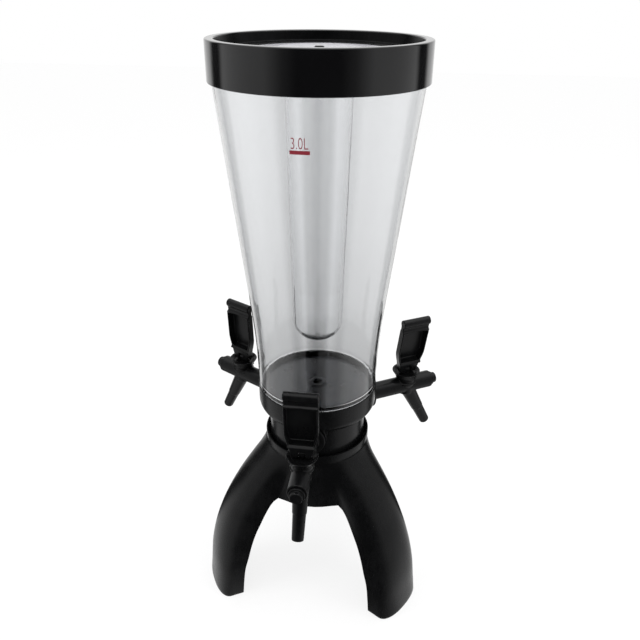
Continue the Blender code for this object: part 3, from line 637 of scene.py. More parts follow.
def makeFloor(look):
    half = look["floorSize"] / 2
    mesh = bpy.data.meshes.new("floor")
    mesh.from_pydata([(-half, -half, 0), (half, -half, 0), (half, half, 0), (-half, half, 0)], [],
                     [(0, 1, 2, 3)])
    floor = linked("floor", mesh)
    paint = Finish("floor_paper", {"Roughness": look["floorRough"],
                                   "Specular IOR Level": look["floorSpecular"]})
    tone = look["floorColour"]
    fleck = tuple(tone * part for part in look["floorFleck"])
    paint.end({"Base Color": paint.blend(paint.noise(look["fleckScale"]), (tone, tone, tone), fleck)})
    seen, through, mirrored = paint.rays()
    away = paint.add("ShaderNodeVectorMath", {"operation": "LENGTH"}, {0: paint.place()}, output="Value")
    # Painted shade on the floor, darker near the middle, which only glass sees
    behind = paint.glow(paint.ramp(away / half, look["floorShade"]))
    cards = paint.glow(reflectedCards(paint, paint.place(), look))
    mixed = Value(paint, paint.shader.outputs[0])
    mixed = paint.mixed(seen * look["floorGlow"], mixed, paint.glow((1, 1, 1, 1)))
    mixed = paint.mixed(through * (1 - seen), mixed, behind)
    mixed = paint.mixed(mirrored * (1 - seen) * (1 - through), mixed, cards)
    paint.feed(paint.tree.nodes["Material Output"].inputs["Surface"], mixed)
    mesh.materials.append(paint.material)


def makeSurroundings(look):
    world = bpy.data.worlds.new("surround")
    scene.world = world
    world.use_nodes = True
    world.node_tree.nodes.clear()
    paint = Paint(world.node_tree)
    seen, through, mirrored = paint.rays()
    direction = paint.add("ShaderNodeTexCoord", output="Generated")
    height = paint.split(direction)[2]
    above = paint.spread(height, look["overheadLow"], look["overheadHigh"]) * look["overhead"]
    cards = paint.maths("MAXIMUM", reflectedCards(paint, direction, look), above)
    white = seen + through * (1 - seen)
    plain = paint.blend(white, (look["surround"],) * 3, (1, 1, 1))
    shown = paint.add("ShaderNodeMix", {"data_type": "RGBA"},
                      {"Factor": mirrored * (1 - white), 6: plain, 7: cards}, output=2)
    light = paint.add("ShaderNodeBackground", {}, {"Color": shown, "Strength": 1.0})
    end = paint.tree.nodes.new("ShaderNodeOutputWorld")
    paint.feed(end.inputs["Surface"], light)


makeCamera(view)
for lamp in lamps:
    makeLamp(lamp, studio["aim"])
makeFloor(studio)
makeSurroundings(studio)
scene.view_settings.view_transform = "Standard"
print("studio: camera,", len(lamps), "lamps, floor and surroundings")


# Clear reservoir: spigot, upright foot, a curve into a long cone, upright rim
reservoir = {"wall": 0.0025, "footRadius": 0.0588, "spigotRadius": 0.0566, "stepHeight": 0.2408,
             "footBand": 0.0042, "curveRise": 0.0740, "rimBand": 0.0167, "rimBend": 0.006,
             "curveBends": 26, "edge": 0.0006, "steps": 192}


def makeReservoir(shape):
    low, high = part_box("reservoir")
    rim = (high.x - low.x) / 2
    foot, wall, edge = shape["footRadius"], shape["wall"], shape["edge"]
    curveLow = shape["stepHeight"] + shape["footBand"]
    coneHigh = high.z - shape["rimBand"]
    coneRise = coneHigh - curveLow - shape["curveRise"]
    slope = (rim - foot) / (coneRise + shape["curveRise"] / 2)

    def outerRadius(height):
        rise = height - curveLow
        if rise < shape["curveRise"]:
            return foot + slope * rise * rise / (2 * shape["curveRise"])
        return foot + slope * (rise - shape["curveRise"] / 2)

    rises = [shape["curveRise"] * step / shape["curveBends"] for step in range(shape["curveBends"] + 1)]
    side = [(foot + slope * rise * rise / (2 * shape["curveRise"]), curveLow + rise) for rise in rises]
    side.append((rim, coneHigh, shape["rimBend"]))
    inside = [(point[0] - wall, point[1], *point[2:]) for point in side[::-1]]
    spigot = shape["spigotRadius"]
    outline = [(spigot - wall, low.z, edge), (spigot, low.z, edge)]
    outline += [(spigot, shape["stepHeight"], edge), (foot, shape["stepHeight"], edge)] + side
    outline += [(rim, high.z, edge), (rim - wall, high.z, edge)] + inside
    outline += [(spigot - wall, shape["stepHeight"], edge)]
    mesh = turned(outline, shape["steps"], clearWall)
    keep("clear_reservoir", mesh, "tower", ["reservoir"])
    return outerRadius


# Graduation mark: a plain volume mark, printed in dark red over the front tap
mark = {"text": "3.0L", "middle": -2.35, "barLow": 0.4854, "barHigh": 0.4883, "barWidth": 0.0153,
        "textLow": 0.4894, "textHigh": 0.4978, "textWidth": 0.0129, "thinner": -0.012,
        "bends": 6, "ink": 0.00008, "offWallShare": 0.3, "cell": 0.0006, "weld": 0.00002,
        "sharp": 40}


def onWall(mesh, radiusAt, look):
    # Bends a flat drawing, x across and y up, round the reservoir's wall
    for vertex in mesh.vertices:
        height = vertex.co.y
        radius = radiusAt(height) + vertex.co.z
        angle = radians(look["middle"]) + vertex.co.x / radiusAt(height)
        vertex.co = (radius * sin(angle), -radius * cos(angle), height)


def makeMark(look, radiusAt):
    words = bpy.data.curves.new("mark", "FONT")
    words.body = look["text"]
    words.align_x = "CENTER"
    words.resolution_u = look["bends"]
    words.offset = look["thinner"]
    letters = baked(linked("letters", words))
    xs = [vertex.co.x for vertex in letters.vertices]
    ys = [vertex.co.y for vertex in letters.vertices]
    wide = look["textWidth"] / (max(xs) - min(xs))
    tall = (look["textHigh"] - look["textLow"]) / (max(ys) - min(ys))
    shape = bmesh.new()
    shape.from_mesh(letters)
    for vertex in shape.verts:
        vertex.co.x = (vertex.co.x - (max(xs) + min(xs)) / 2) * wide
        vertex.co.y = look["textLow"] + (vertex.co.y - min(ys)) * tall
    columns = round(look["barWidth"] / look["cell"])
    rows = [[shape.verts.new((look["barWidth"] * (column / columns - 0.5), height, 0))
             for column in range(columns + 1)] for height in (look["barLow"], look["barHigh"])]
    for column in range(columns):
        shape.faces.new((rows[0][column], rows[0][column + 1], rows[1][column + 1], rows[1][column]))
    bmesh.ops.triangulate(shape, faces=shape.faces)
    bmesh.ops.remove_doubles(shape, verts=shape.verts, dist=look["weld"])
    thick = bmesh.ops.extrude_face_region(shape, geom=shape.faces[:])
    for item in thick["geom"]:
        if isinstance(item, bmesh.types.BMVert):
            item.co.z += look["ink"]
    for vertex in shape.verts:
        vertex.co.z += look["ink"] * look["offWallShare"]
    mesh = asMesh(shape, "mark")
    onWall(mesh, radiusAt, look)
    keep("graduation_mark", facingOut(mesh), "tower", [], markInk,
         sharp=look["sharp"])


outerRadius = makeReservoir(reservoir)
makeMark(mark, outerRadius)
print("reservoir and its mark")


# Top ring: glossy collar over the rim, with a ledge, a seat for the tube's flange and a lip
topRing = {"skirtBore": 0.0876, "web": 0.0045, "rimRise": 0.0085, "rimBore": 0.0830,
           "ledgeRadius": 0.0810, "seatRadius": 0.0620, "seatDepth": 0.0030, "mouth": 0.0560,
           "lip": 0.0018, "edge": 0.0010, "steps": 192}


def makeTopRing(shape):
    low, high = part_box("top_ring")
    outer = (high.x - low.x) / 2
    ledge = high.z - shape["rimRise"]
    web = ledge - shape["web"]
    seat = ledge - shape["seatDepth"]
    edge = shape["edge"]
    outline = [(shape["skirtBore"], low.z, edge / 2), (outer, low.z, edge), (outer, high.z, edge * 1.3)]
    outline += [(shape["rimBore"], high.z, edge), (shape["ledgeRadius"], ledge, edge)]
    outline += [(shape["seatRadius"], ledge, edge / 2), (shape["seatRadius"], seat, edge / 2)]
    outline += [(shape["mouth"], seat, edge / 3), (shape["mouth"], web - shape["lip"], edge / 2)]
    outline += [(shape["seatRadius"], web - shape["lip"], edge / 2), (shape["seatRadius"], web, edge / 2)]
    outline += [(shape["skirtBore"], web, edge / 2)]
    # Painted shade: the ring's inside faces take the duller black
    mesh = repainted(turned(outline, shape["steps"], ringBlack), recessShadeBlack,
                     lambda out, up: out < shape["rimBore"] + edge and up < high.z - edge)
    keep("gloss_top_ring", mesh, "cover", ["top_ring"])


# Ice tube with its flange, and the lid with a knob; the knob is made slimmer than its solid
iceTube = {"radius": 0.0290, "endRadius": 0.0234, "wall": 0.0020, "endRise": 0.0180, "flange": 0.0022,
           "nubRadius": 0.0022, "nubRise": 0.0014, "bends": 12, "edge": 0.0006, "steps": 128}
lid = {"thickness": 0.0016, "plugWall": 0.0015, "plugGap": 0.0003, "hole": 0.0023, "edge": 0.0004,
       "knobStem": 0.0020, "knobRise": 0.0014, "knobSlim": 0.0012, "steps": 96, "knobSteps": 48}


def makeIceTube(shape):
    low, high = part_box("ice_tube")
    flangeRadius = (high.x - low.x) / 2
    flangeLow = high.z - shape["flange"]
    endTop = low.z + shape["nubRise"] + shape["endRise"]
    end, wall, edge = shape["endRadius"], shape["wall"], shape["edge"]
    bends = [radians(90 * step / shape["bends"]) for step in range(shape["bends"])]
    outside = [(end * cos(bend), endTop - shape["endRise"] * sin(bend)) for bend in bends]
    inside = [((end - wall) * cos(bend), endTop - (shape["endRise"] - wall) * sin(bend)) for bend in bends]
    nub = shape["nubRadius"]
    bore = shape["radius"] - wall
    outline = [(0, low.z), (nub, low.z, edge), (nub, low.z + shape["nubRise"], edge / 2)]
    outline += outside[::-1] + [(shape["radius"], flangeLow, edge)]
    outline += [(flangeRadius, flangeLow, edge), (flangeRadius, high.z, edge)]
    outline += [(bore, high.z, edge)] + inside + [(0, endTop - shape["endRise"] + wall)]
    mesh = repainted(turned(outline, shape["steps"], clearTube, closed=False), clearLid,
                     lambda out, up: out > shape["radius"] and up > flangeLow - edge)
    keep("clear_ice_tube", mesh, "ice_tube", ["ice_tube"])


def makeLid(shape):
    low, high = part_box("tube_lid")
    radius = (high.x - low.x) / 2
    under = high.z - shape["thickness"]
    plug = iceTube["radius"] - iceTube["wall"] - shape["plugGap"]
    edge = shape["edge"]
    inner = plug - shape["plugWall"]
    outline = [(shape["hole"], under), (inner, under, edge), (inner, low.z, edge), (plug, low.z, edge)]
    outline += [(plug, under, edge), (radius, under, edge), (radius, high.z, edge * 1.5)]
    outline += [(shape["hole"], high.z, edge / 2)]
    keep("clear_tube_lid", turned(outline, shape["steps"], clearLid), "tube_lid", ["tube_lid"])

    low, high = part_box("lid_knob")
    radius = (high.x - low.x) / 2 - shape["knobSlim"]
    stem = shape["knobStem"]
    high.z -= shape["knobSlim"]
    under = high.z - shape["knobRise"]
    outline = [(0, low.z), (stem, low.z, edge), (stem, under, edge / 2), (radius, under, edge / 2)]
    outline += [(radius, high.z, edge * 2), (0, high.z)]
    mesh = turned(outline, shape["knobSteps"], satinBlack, closed=False)
    keep("small_lid_knob", mesh, "tube_lid", ["lid_knob"])


makeTopRing(topRing)
makeIceTube(iceTube)
makeLid(lid)
print("top ring, ice tube and lid")


# Floor plate with its outlet, and the moulded base: neck, shoulder, cup and three tap bosses
floorPlate = {"flange": 0.0015, "neckRadius": 0.0537, "thickness": 0.0030, "bossRadius": 0.0095,
              "bossRise": 0.0020, "outlet": 0.0045, "edge": 0.0006, "steps": 128}
base = {"neckRadius": 0.0486, "neckWall": 0.0026, "skirt": 0.0204, "bottom": 0.0026,
        "shoulderLow": 0.2124, "shoulderRise": 0.0106, "insideRise": 0.0086, "cupBore": 0.0569,
        "cupDepth": 0.0103, "ledgeRadius": 0.0523, "bossRadius": 0.0161, "bossFace": 0.0565,
        "bossBack": 0.0446, "innerBoss": 0.0125, "innerFace": 0.0435, "hole": 0.0071,
        "bossGap": 0.0006, "bossSteps": 72, "edge": 0.0009, "steps": 176, "sharp": 34}
boreSteps = 40   # sides of the small holes and pins
tapAxis = 0.2080
overrun = 0.002
tapTurns = {"front": 0, "right": radians(120), "left": radians(-120)}


def makeFloorPlate(shape):
    low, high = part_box("floor_plate")
    edgeRadius = (high.x - low.x) / 2
    top = high.z - shape["bossRise"]
    under = top - shape["thickness"]
    edge = shape["edge"]
    drum = shape["neckRadius"] - shape["thickness"]
    slope = shape["bossRadius"] - shape["bossRise"]
    outline = [(shape["outlet"], under), (drum, under, edge), (drum, low.z, edge)]
    outline += [(edgeRadius, low.z, edge), (edgeRadius, low.z + shape["flange"], edge)]
    outline += [(shape["neckRadius"], low.z + shape["flange"], edge), (shape["neckRadius"], top, edge * 2)]
    outline += [(shape["bossRadius"], top, edge * 3), (slope, high.z, edge), (shape["outlet"], high.z, edge)]
    keep("outlet_floor", turned(outline, shape["steps"], floorPaint), "tower", ["floor_plate"])


def quarterRound(radiusIn, radiusOut, low, high, bends=12):
    return [(radiusIn + (radiusOut - radiusIn) * x, high + (high - low) * y)
            for x, y in arcPoints((0, 0), 1, -90, 0, bends)]


def alongPipe(mesh, turn=0):
    # From +Z to the way a tap points, at the taps' height
    mesh.transform(Matrix.Rotation(turn, 4, "Z") @ Matrix.Translation((0, 0, tapAxis))
                   @ Matrix.Rotation(pi / 2, 4, "X"))
    return mesh


def makeBase(shape):
    low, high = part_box("base_cup")
    cup = (high.x - low.x) / 2
    neck, bore = shape["neckRadius"], shape["neckRadius"] - shape["neckWall"]
    edge = shape["edge"]
    shoulderHigh = shape["shoulderLow"] + shape["shoulderRise"]
    ledge = high.z - shape["cupDepth"]
    bottom = low.z + shape["skirt"]
    inside = quarterRound(bore, shape["ledgeRadius"], shoulderHigh - shape["insideRise"], shoulderHigh)
    outline = [(0, bottom), (bore, bottom, edge), (bore, low.z, edge), (neck, low.z, edge)]
    outline += quarterRound(neck, cup, shape["shoulderLow"], shoulderHigh)
    outline += [(cup, high.z, edge), (shape["cupBore"], high.z, edge), (shape["cupBore"], ledge, edge)]
    outline += [(shape["ledgeRadius"], ledge, edge)] + inside[::-1]
    outline += [(bore, bottom + shape["bottom"], edge), (0, bottom + shape["bottom"])]
    mesh = turned(outline, shape["steps"], satinBlack, closed=False)
    steps = []
    for turn in tapTurns.values():
        face, inner = shape["bossFace"], shape["innerFace"]
        boss = [(0, inner), (shape["innerBoss"], inner, edge / 2), (shape["innerBoss"], shape["bossBack"])]
        boss += [(shape["bossRadius"], shape["bossBack"]), (shape["bossRadius"], face, edge / 2), (0, face)]
        boss = turned(boss, shape["bossSteps"], satinBlack, closed=False)
        cut = rod(shape["bossRadius"] + shape["bossGap"], face, cup + overrun, shape["bossSteps"], satinBlack)
        hole = rod(shape["hole"], inner - overrun, face + overrun, boreSteps, satinBlack)
        steps += [("UNION", alongPipe(boss, turn)), ("DIFFERENCE", alongPipe(cut, turn)),
                  ("DIFFERENCE", alongPipe(hole, turn))]
    keep("moulded_base", carved(mesh, steps), "tower", ["base_cup"], satinBlack,
         sharp=shape["sharp"])


makeFloorPlate(floorPlate)
makeBase(base)
print("floor plate and base")


# Stand: hub and collar on three crowned legs, hollow underneath, arched between the legs
stand = {"footLow": 0.0009, "wall": 0.0032, "footFloor": 0.0040, "legReach": 0.1240,
         "legHalfWidth": 0.0310, "turn": radians(58), "crownPower": 2.3, "collarWall": 0.0018,
         "collarRadius": 0.0533, "collarBand": 0.0095, "bandStep": 0.0009, "hubTop": 0.0524,
         "hubFoot": 0.0618, "hubHeight": 0.0572, "blend": 0.0070, "archEdge": 0.0014,
         "footDepth": 0.0222, "socketDepth": 0.0175, "socketFloor": 0.0032, "edge": 0.0009,
         "frontColumns": 15, "sideColumns": 12, "hubColumns": 8, "lowRows": 30, "highRows": 24,
         "frontEndShare": 0.98, "cornerEndShare": 0.985, "archTopShare": 0.99999,
         "highSpread": radians(44),   # half of what a leg's columns take up at the collar
         "rowGap": 0.001, "roofRing": 0.03, "pole": 0.0005, "edgeBends": 3, "edgeAngle": 40}
legGap = radians(120)
crestShares = ((0, 0.994), (0.10, 0.981), (0.25, 0.960), (0.40, 0.911), (0.545, 0.831),
               (0.69, 0.714), (0.82, 0.573), (0.944, 0.418), (1.0, 0.356))
crownShares = ((0, 0.42), (0.30, 0.58), (0.60, 0.76), (1.0, 0.87))
archShares = ((0, 1.0), (0.14, 0.985), (0.286, 0.963), (0.405, 0.925), (0.53, 0.888),
              (0.66, 0.838), (0.76, 0.786), (0.87, 0.727), (0.952, 0.672))


def halved(inside, outside, holds, rounds=26):
    # Closes in on the last place where a rule holds
    for _ in range(rounds):
        middle = (inside + outside) / 2
        if holds(middle):
            inside = middle
        else:
            outside = middle
    return inside


class StandShape:
    # Distances from the tower's axis, at a height and an angle to the middle of a leg
    def __init__(self, shape):
        self.shape = shape
        self.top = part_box("tripod_stand")[1].z
        self.low = shape["footLow"]
        self.bandLow = self.top - shape["collarBand"]
        self.hubLow = self.top - shape["hubHeight"]
        self.archReach = shape["legReach"] - shape["footDepth"]
        edge = (shape["hubFoot"] + shape["archEdge"]) / self.archReach
        self.archTable = archShares + ((1.0, edge),)

    def crest(self, height, inset):
        share = (height - self.low) / (self.top - self.low)
        crown = self.shape["legHalfWidth"] * smoothTable(crownShares, share)
        return self.shape["legReach"] * smoothTable(crestShares, share) - inset, crown

    def leg(self, angle, height, inset):
        crest, crown = self.crest(height, inset)
        half = self.shape["legHalfWidth"] - inset
        power = self.shape["crownPower"]
        reach = self.shape["legReach"]
        if sin(angle) > 0:
            reach = min(reach, half / sin(angle))

        def inLeg(radius):
            rest = max(1 - (radius * sin(angle) / half) ** power, 0)
            return radius * cos(angle) < crest - crown + crown * rest ** (1 / power)

        return halved(0.0, reach, inLeg)

    def hub(self, height, inset):
        share = (self.bandLow - height) / (self.bandLow - self.hubLow)
        top, foot = self.shape["hubTop"], self.shape["hubFoot"]
        return top + (foot - top) * min(max(share, 0), 1) - inset

    def skin(self, angle, height, inset):
        hub, leg = self.hub(height, inset), self.leg(angle, height, inset)
        near = max(self.shape["blend"] - abs(hub - leg), 0) / self.shape["blend"]
        return max(hub, leg) + near * near * self.shape["blend"] / 4

    def arch(self, height):
        share = min(height / self.hubLow, self.shape["archTopShare"])
        return self.archReach * smoothTable(self.archTable, share)

    def archAngle(self, height, inset):
        # Where the leg's side meets the arch
        return halved(0.0, legGap / 2, lambda angle: self.skin(angle, height, inset) > self.arch(height))

    def legAngles(self, height, inset, end):
        # Angles from the leg's middle to its end, close together round the crown
        crest, crown = self.crest(height, inset)
        half = self.shape["legHalfWidth"] - inset
        power = self.shape["crownPower"]
        angles = []
        for column in range(self.shape["frontColumns"]):
            t = pi / 2 * column / self.shape["frontColumns"]
            across = half * sin(t) ** (2 / power)
            along = crest - crown + crown * cos(t) ** (2 / power)
            angles.append(min(atan2(across, along), end * self.shape["frontEndShare"]))
        corner = min(atan2(half, crest - crown), end * self.shape["cornerEndShare"])
        count = self.shape["sideColumns"]
        return angles + [corner + (end - corner) * column / count for column in range(count + 1)]


def makeStand(shape):
    form = StandShape(shape)
    lowRows = [form.low + (form.hubLow - form.low) * row / shape["lowRows"]
               for row in range(shape["lowRows"] + 1)]
    highRows = [form.hubLow + (form.bandLow - form.hubLow) * row / shape["highRows"]
                for row in range(shape["highRows"] + 1)]
    floorTop = form.low + shape["footFloor"]
    socket = form.top - shape["socketDepth"]
    roof = socket - shape["socketFloor"]
    skin = bmesh.new()

    def spot(angle, radius, height, leg):
        turn = angle + 2 * pi * leg / 3 + shape["turn"]
        return skin.verts.new((radius * sin(turn), -radius * cos(turn), height))

    def legRow(height, inset, leg, end):
        half = form.legAngles(height, inset, end)
        return [spot(angle, form.skin(abs(angle), height, inset), height, leg)
                for angle in [-a for a in half[:0:-1]] + half]

    def gapRow(height, inset, leg, end):
        count = shape["hubColumns"]
        angles = [end + (legGap - 2 * end) * column / count for column in range(1, count)]
        return [spot(angle, form.skin(min(angle, legGap - angle), height, inset), height, leg)
                for angle in angles]

    def sheet(rows, closed=False):
        for under, over in zip(rows, rows[1:]):
            count = len(under)
            for index in range(count if closed else count - 1):
                after = (index + 1) % count
                skin.faces.new((under[index], under[after], over[after], over[index]))

    def hubEnd(height, inset):
        # The legs' columns spread as the legs sink into the hub
        share = min(max((height - form.hubLow) / (form.bandLow - form.hubLow), 0), 1)
        start = form.archAngle(form.hubLow, inset)
        return start + (shape["highSpread"] - start) * share

    def ring(height, inset):
        row = []
        for leg in range(3):
            row += legRow(height, inset, leg, hubEnd(height, inset))
            row += gapRow(height, inset, leg, hubEnd(height, inset))
        return row

    def plainRing(radius, height, like):
        row = []
        for vertex in like:
            scale = radius / hypot(vertex.co.x, vertex.co.y)
            row.append(skin.verts.new((vertex.co.x * scale, vertex.co.y * scale, height)))
        return row

    outerRings = [ring(height, 0) for height in highRows]
    collar, pole = shape["collarRadius"], shape["pole"]
    bore = collar - shape["collarWall"]
    like = outerRings[-1]
    for radius, height in ((collar - shape["bandStep"], form.bandLow), (collar, form.bandLow),
                           (collar, form.top), (bore, form.top), (bore, socket), (bore / 2, socket),
                           (pole, socket)):
        outerRings.append(plainRing(radius, height, like))
    sheet(outerRings, closed=True)
    skin.faces.new(outerRings[-1])

    wall = shape["wall"]
    gap = shape["rowGap"]
    innerHeights = [height for height in highRows if height < roof - gap] + [roof]
    innerRings = [ring(height, wall) for height in innerHeights]
    for radius in (shape["roofRing"], pole):
        innerRings.append(plainRing(radius, roof, innerRings[-1]))
    sheet(innerRings, closed=True)
    skin.faces.new(innerRings[-1])

    for leg in range(3):
        outer = [legRow(height, 0, leg, form.archAngle(height, 0)) for height in lowRows]
        sheet(outer)
        tops = [floorTop] + [height for height in lowRows if height > floorTop + gap]
        inner = [legRow(height, wall, leg, form.archAngle(height, wall)) for height in tops]
        sheet(inner)
        middle = len(inner[0]) // 2
        face = []
        for height in (form.low, floorTop):
            end = form.archAngle(height, wall)
            face.append([spot(end * (index / middle - 1), form.arch(height), height, leg)
                         for index in range(len(inner[0]))])
        sheet(face)
        sheet([outer[0], face[0]])
        sheet([face[1], inner[0]])
        for side in (0, -1):
            edgeOut = [row[side] for row in outer]
            edgeIn = [row[side] for row in face + inner[1:]]
            joinStrips(skin, edgeOut, lowRows, edgeIn, [form.low] + tops)
    outerGap, innerGap = outerRings[0], innerRings[0]
    legWidth = 2 * (shape["frontColumns"] + shape["sideColumns"]) + 1
    period = legWidth + shape["hubColumns"] - 1
    count = len(outerGap)
    for leg in range(3):
        start = leg * period + legWidth - 1
        for index in range(start, start + shape["hubColumns"]):
            a, b = index % count, (index + 1) % count
            skin.faces.new((outerGap[a], outerGap[b], innerGap[b], innerGap[a]))
    mesh = facingOut(asMesh(skin, "stand"))
    mesh = bevelled(mesh, shape["edge"], shape["edgeBends"], shape["edgeAngle"])
    keep("moulded_stand", mesh, "stand", ["tripod_stand"], satinBlack)


def joinStrips(skin, first, firstHeights, second, secondHeights, even=1e-7):
    # Fills between two edges whose points lie at different heights
    i, j = 0, 0
    while i < len(first) - 1 or j < len(second) - 1:
        stepFirst = j == len(second) - 1 or (i < len(first) - 1
                                            and firstHeights[i + 1] <= secondHeights[j + 1] + even)
        stepSecond = i == len(first) - 1 or (j < len(second) - 1
                                            and secondHeights[j + 1] <= firstHeights[i + 1] + even)
        corners = [first[i], second[j]]
        if stepSecond:
            j += 1
            corners.append(second[j])
        if stepFirst:
            i += 1
            corners.append(first[i])
        skin.faces.new(corners)


makeStand(stand)
print("stand")


# Taps, drawn pointing along -Y and turned to their places
tap = {"reach": 0.1035, "shankEnd": 0.0340, "shank": 0.0068, "shankBore": 0.0045,
       "flangeAt": 0.0581, "flange": 0.0152, "flangeThickness": 0.0030, "pipe": 0.00915,
       "pipeEnd": 0.1330, "valve": 0.0090, "housing": 0.0102, "valveDrop": 0.0090, "lip": 0.0112,
       "lipAt": 0.0040, "lipRise": 0.0017, "shoulder": 0.0096, "neck": 0.0078, "neckRise": 0.0038,
       "valveBore": 0.0061, "wellSteps": 48, "seat": 0.0062, "nozzleTilt": radians(27.6),
       "nozzleLength": 0.0625, "nozzleRoot": 0.0084, "nozzleTip": 0.0055, "nozzleStep": 0.0068,
       "stepAt": 0.0380, "stepRise": 0.0006, "nozzleBore": 0.0038, "edge": 0.0008, "steps": 72,
       "voxel": 0.00045, "soften": 3}
plug = {"short": 0.0003, "stemBack": 0.0080, "stem": 0.0042, "collarLong": 0.0024, "knob": 0.00575,
        "edge": 0.0011, "steps": 64}


def onValve(mesh):
    mesh.transform(Matrix.Translation((0, -tap["reach"], 0)))
    return mesh


def alongNozzle(mesh):
    start = Matrix.Translation((0, -tap["reach"], tapAxis))
    mesh.transform(start @ Matrix.Rotation(pi - tap["nozzleTilt"], 4, "X"))
    return mesh


def tapBodyMesh(shape):
    def bar(outline):
        return turned(outline, shape["steps"], tapBlack, closed=False)

    edge, flange = shape["edge"], shape["flangeAt"]
    pipe, far = shape["pipe"], flange + shape["flangeThickness"]
    outline = [(0, shape["shankEnd"]), (shape["shank"], shape["shankEnd"], edge), (shape["shank"], flange)]
    outline += [(shape["flange"], flange, edge), (shape["flange"], far, edge), (pipe, far, edge * 2)]
    outline += [(pipe, shape["pipeEnd"], edge), (0, shape["pipeEnd"])]
    body = alongPipe(bar(outline))
    low, shoulder = tapAxis - shape["valveDrop"], tapAxis + shape["shoulder"]
    top = shoulder + shape["neckRise"]
    outline = [(0, low), (shape["valve"], low, edge * 2), (shape["valve"], tapAxis, edge)]
    lipLow = tapAxis + shape["lipAt"]
    lipHigh = lipLow + shape["lipRise"]
    outline += [(shape["housing"], tapAxis + edge * 3, edge), (shape["housing"], lipLow)]
    outline += [(shape["lip"], lipLow, edge / 2), (shape["lip"], lipHigh, edge / 2)]
    outline += [(shape["housing"], lipHigh), (shape["housing"], shoulder, edge)]
    outline += [(shape["neck"], shoulder), (shape["neck"], top, edge / 2), (0, top)]
    valve = onValve(bar(outline))
    share = shape["stepAt"] / shape["nozzleLength"]
    step = shape["nozzleRoot"] + (shape["nozzleTip"] - shape["nozzleRoot"]) * share
    outline = [(0, 0), (shape["nozzleRoot"], 0), (step, shape["stepAt"], edge)]
    outline += [(shape["nozzleStep"] - shape["stepRise"], shape["stepAt"], edge / 2)]
    outline += [(shape["nozzleTip"], shape["nozzleLength"], edge), (0, shape["nozzleLength"])]
    nozzle = alongNozzle(bar(outline))
    start, end = shape["shankEnd"] - overrun, shape["pipeEnd"] + overrun
    bore = rod(shape["shankBore"], start, end, boreSteps, tapBlack)
    well = rod(shape["valveBore"], tapAxis - shape["seat"], top + overrun, shape["wellSteps"], tapBlack)
    spout = rod(shape["nozzleBore"], shape["seat"], shape["nozzleLength"] + overrun, boreSteps, tapBlack)
    mesh = carved(body, [("UNION", valve), ("UNION", nozzle), ("DIFFERENCE", alongPipe(bore)),
                         ("DIFFERENCE", onValve(well)), ("DIFFERENCE", alongNozzle(spout))])
    return melted(mesh, shape["voxel"], shape["soften"])


def endPlugMesh(shape):
    low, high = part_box("end_plug_front")
    near, far = axis.y - high.y, axis.y - low.y - shape["short"]
    radius = (high.x - low.x) / 2
    start = near + shape["stemBack"]
    step = start + shape["collarLong"]
    knob, edge = shape["knob"], shape["edge"]
    outline = [(0, near), (shape["stem"], near, edge / 2), (shape["stem"], start)]
    outline += [(radius, start, edge / 2), (radius, step, edge), (knob, step, edge / 2)]
    outline += [(knob, far, edge), (0, far)]
    return alongPipe(turned(outline, shape["steps"], tapBlack, closed=False))


bonnet = {"bore": 0.0081, "foot": 0.0108, "footRise": 0.0022, "footFlare": 0.0004, "mouth": 0.0149,
          "wall": 0.0016, "cupDepth": 0.0050, "lower": 0.0024, "cup": 0.0098, "web": 0.0018,
          "stemHole": 0.0028, "ribs": 10, "ribWidth": 0.0011, "ribReach": 0.0007, "ribRise": 0.0042,
          "edge": 0.0005, "steps": 96, "sharp": 34}
plunger = {"stem": 0.0023, "head": 0.0056, "headRise": 0.0024, "sealRise": 0.0020, "eye": 0.0034,
           "eyeWidth": 0.0050, "pinHole": 0.0017, "gap": 0.0003, "edge": 0.0003, "headEdge": 0.0005,
           "eyeEdge": 0.0004, "steps": 48, "sharp": 34}
spring = {"lift": 0.0031, "radius": 0.0044, "wire": 0.0005, "turns": 3.0}


def bonnetMesh(shape):
    low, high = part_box("bonnet_front")
    edge = shape["edge"]
    floor = high.z - shape["cupDepth"]
    web = floor - shape["web"]
    outline = [(shape["bore"], low.z, edge / 2), (shape["foot"], low.z, edge)]
    rim = high.z - shape["lower"]
    outline += [(shape["foot"] + shape["footFlare"], low.z + shape["footRise"], edge)]
    outline += [(shape["mouth"], rim, edge)]
    outline += [(shape["mouth"] - shape["wall"], rim, edge), (shape["cup"], floor, edge)]
    outline += [(shape["stemHole"], floor, edge / 2), (shape["stemHole"], web, edge / 2)]
    outline += [(shape["bore"], web, edge / 2)]
    cup = turned(outline, shape["steps"], tapBlack)
    half = shape["ribWidth"] / 2
    inner, outer = shape["foot"] - shape["ribReach"], shape["foot"] + shape["ribReach"]
    rib = prism([(inner, -half), (outer, -half), (outer, half), (inner, half)], low.z + edge,
                low.z + shape["ribRise"])
    ribs = bmesh.new()
    for index in range(shape["ribs"]):
        turn = rib.copy()
        turn.transform(Matrix.Rotation(2 * pi * (index + 0.5) / shape["ribs"], 4, "Z"))
        ribs.from_mesh(turn)
    return onValve(carved(cup, [("UNION", asMesh(ribs, "ribs"))]))


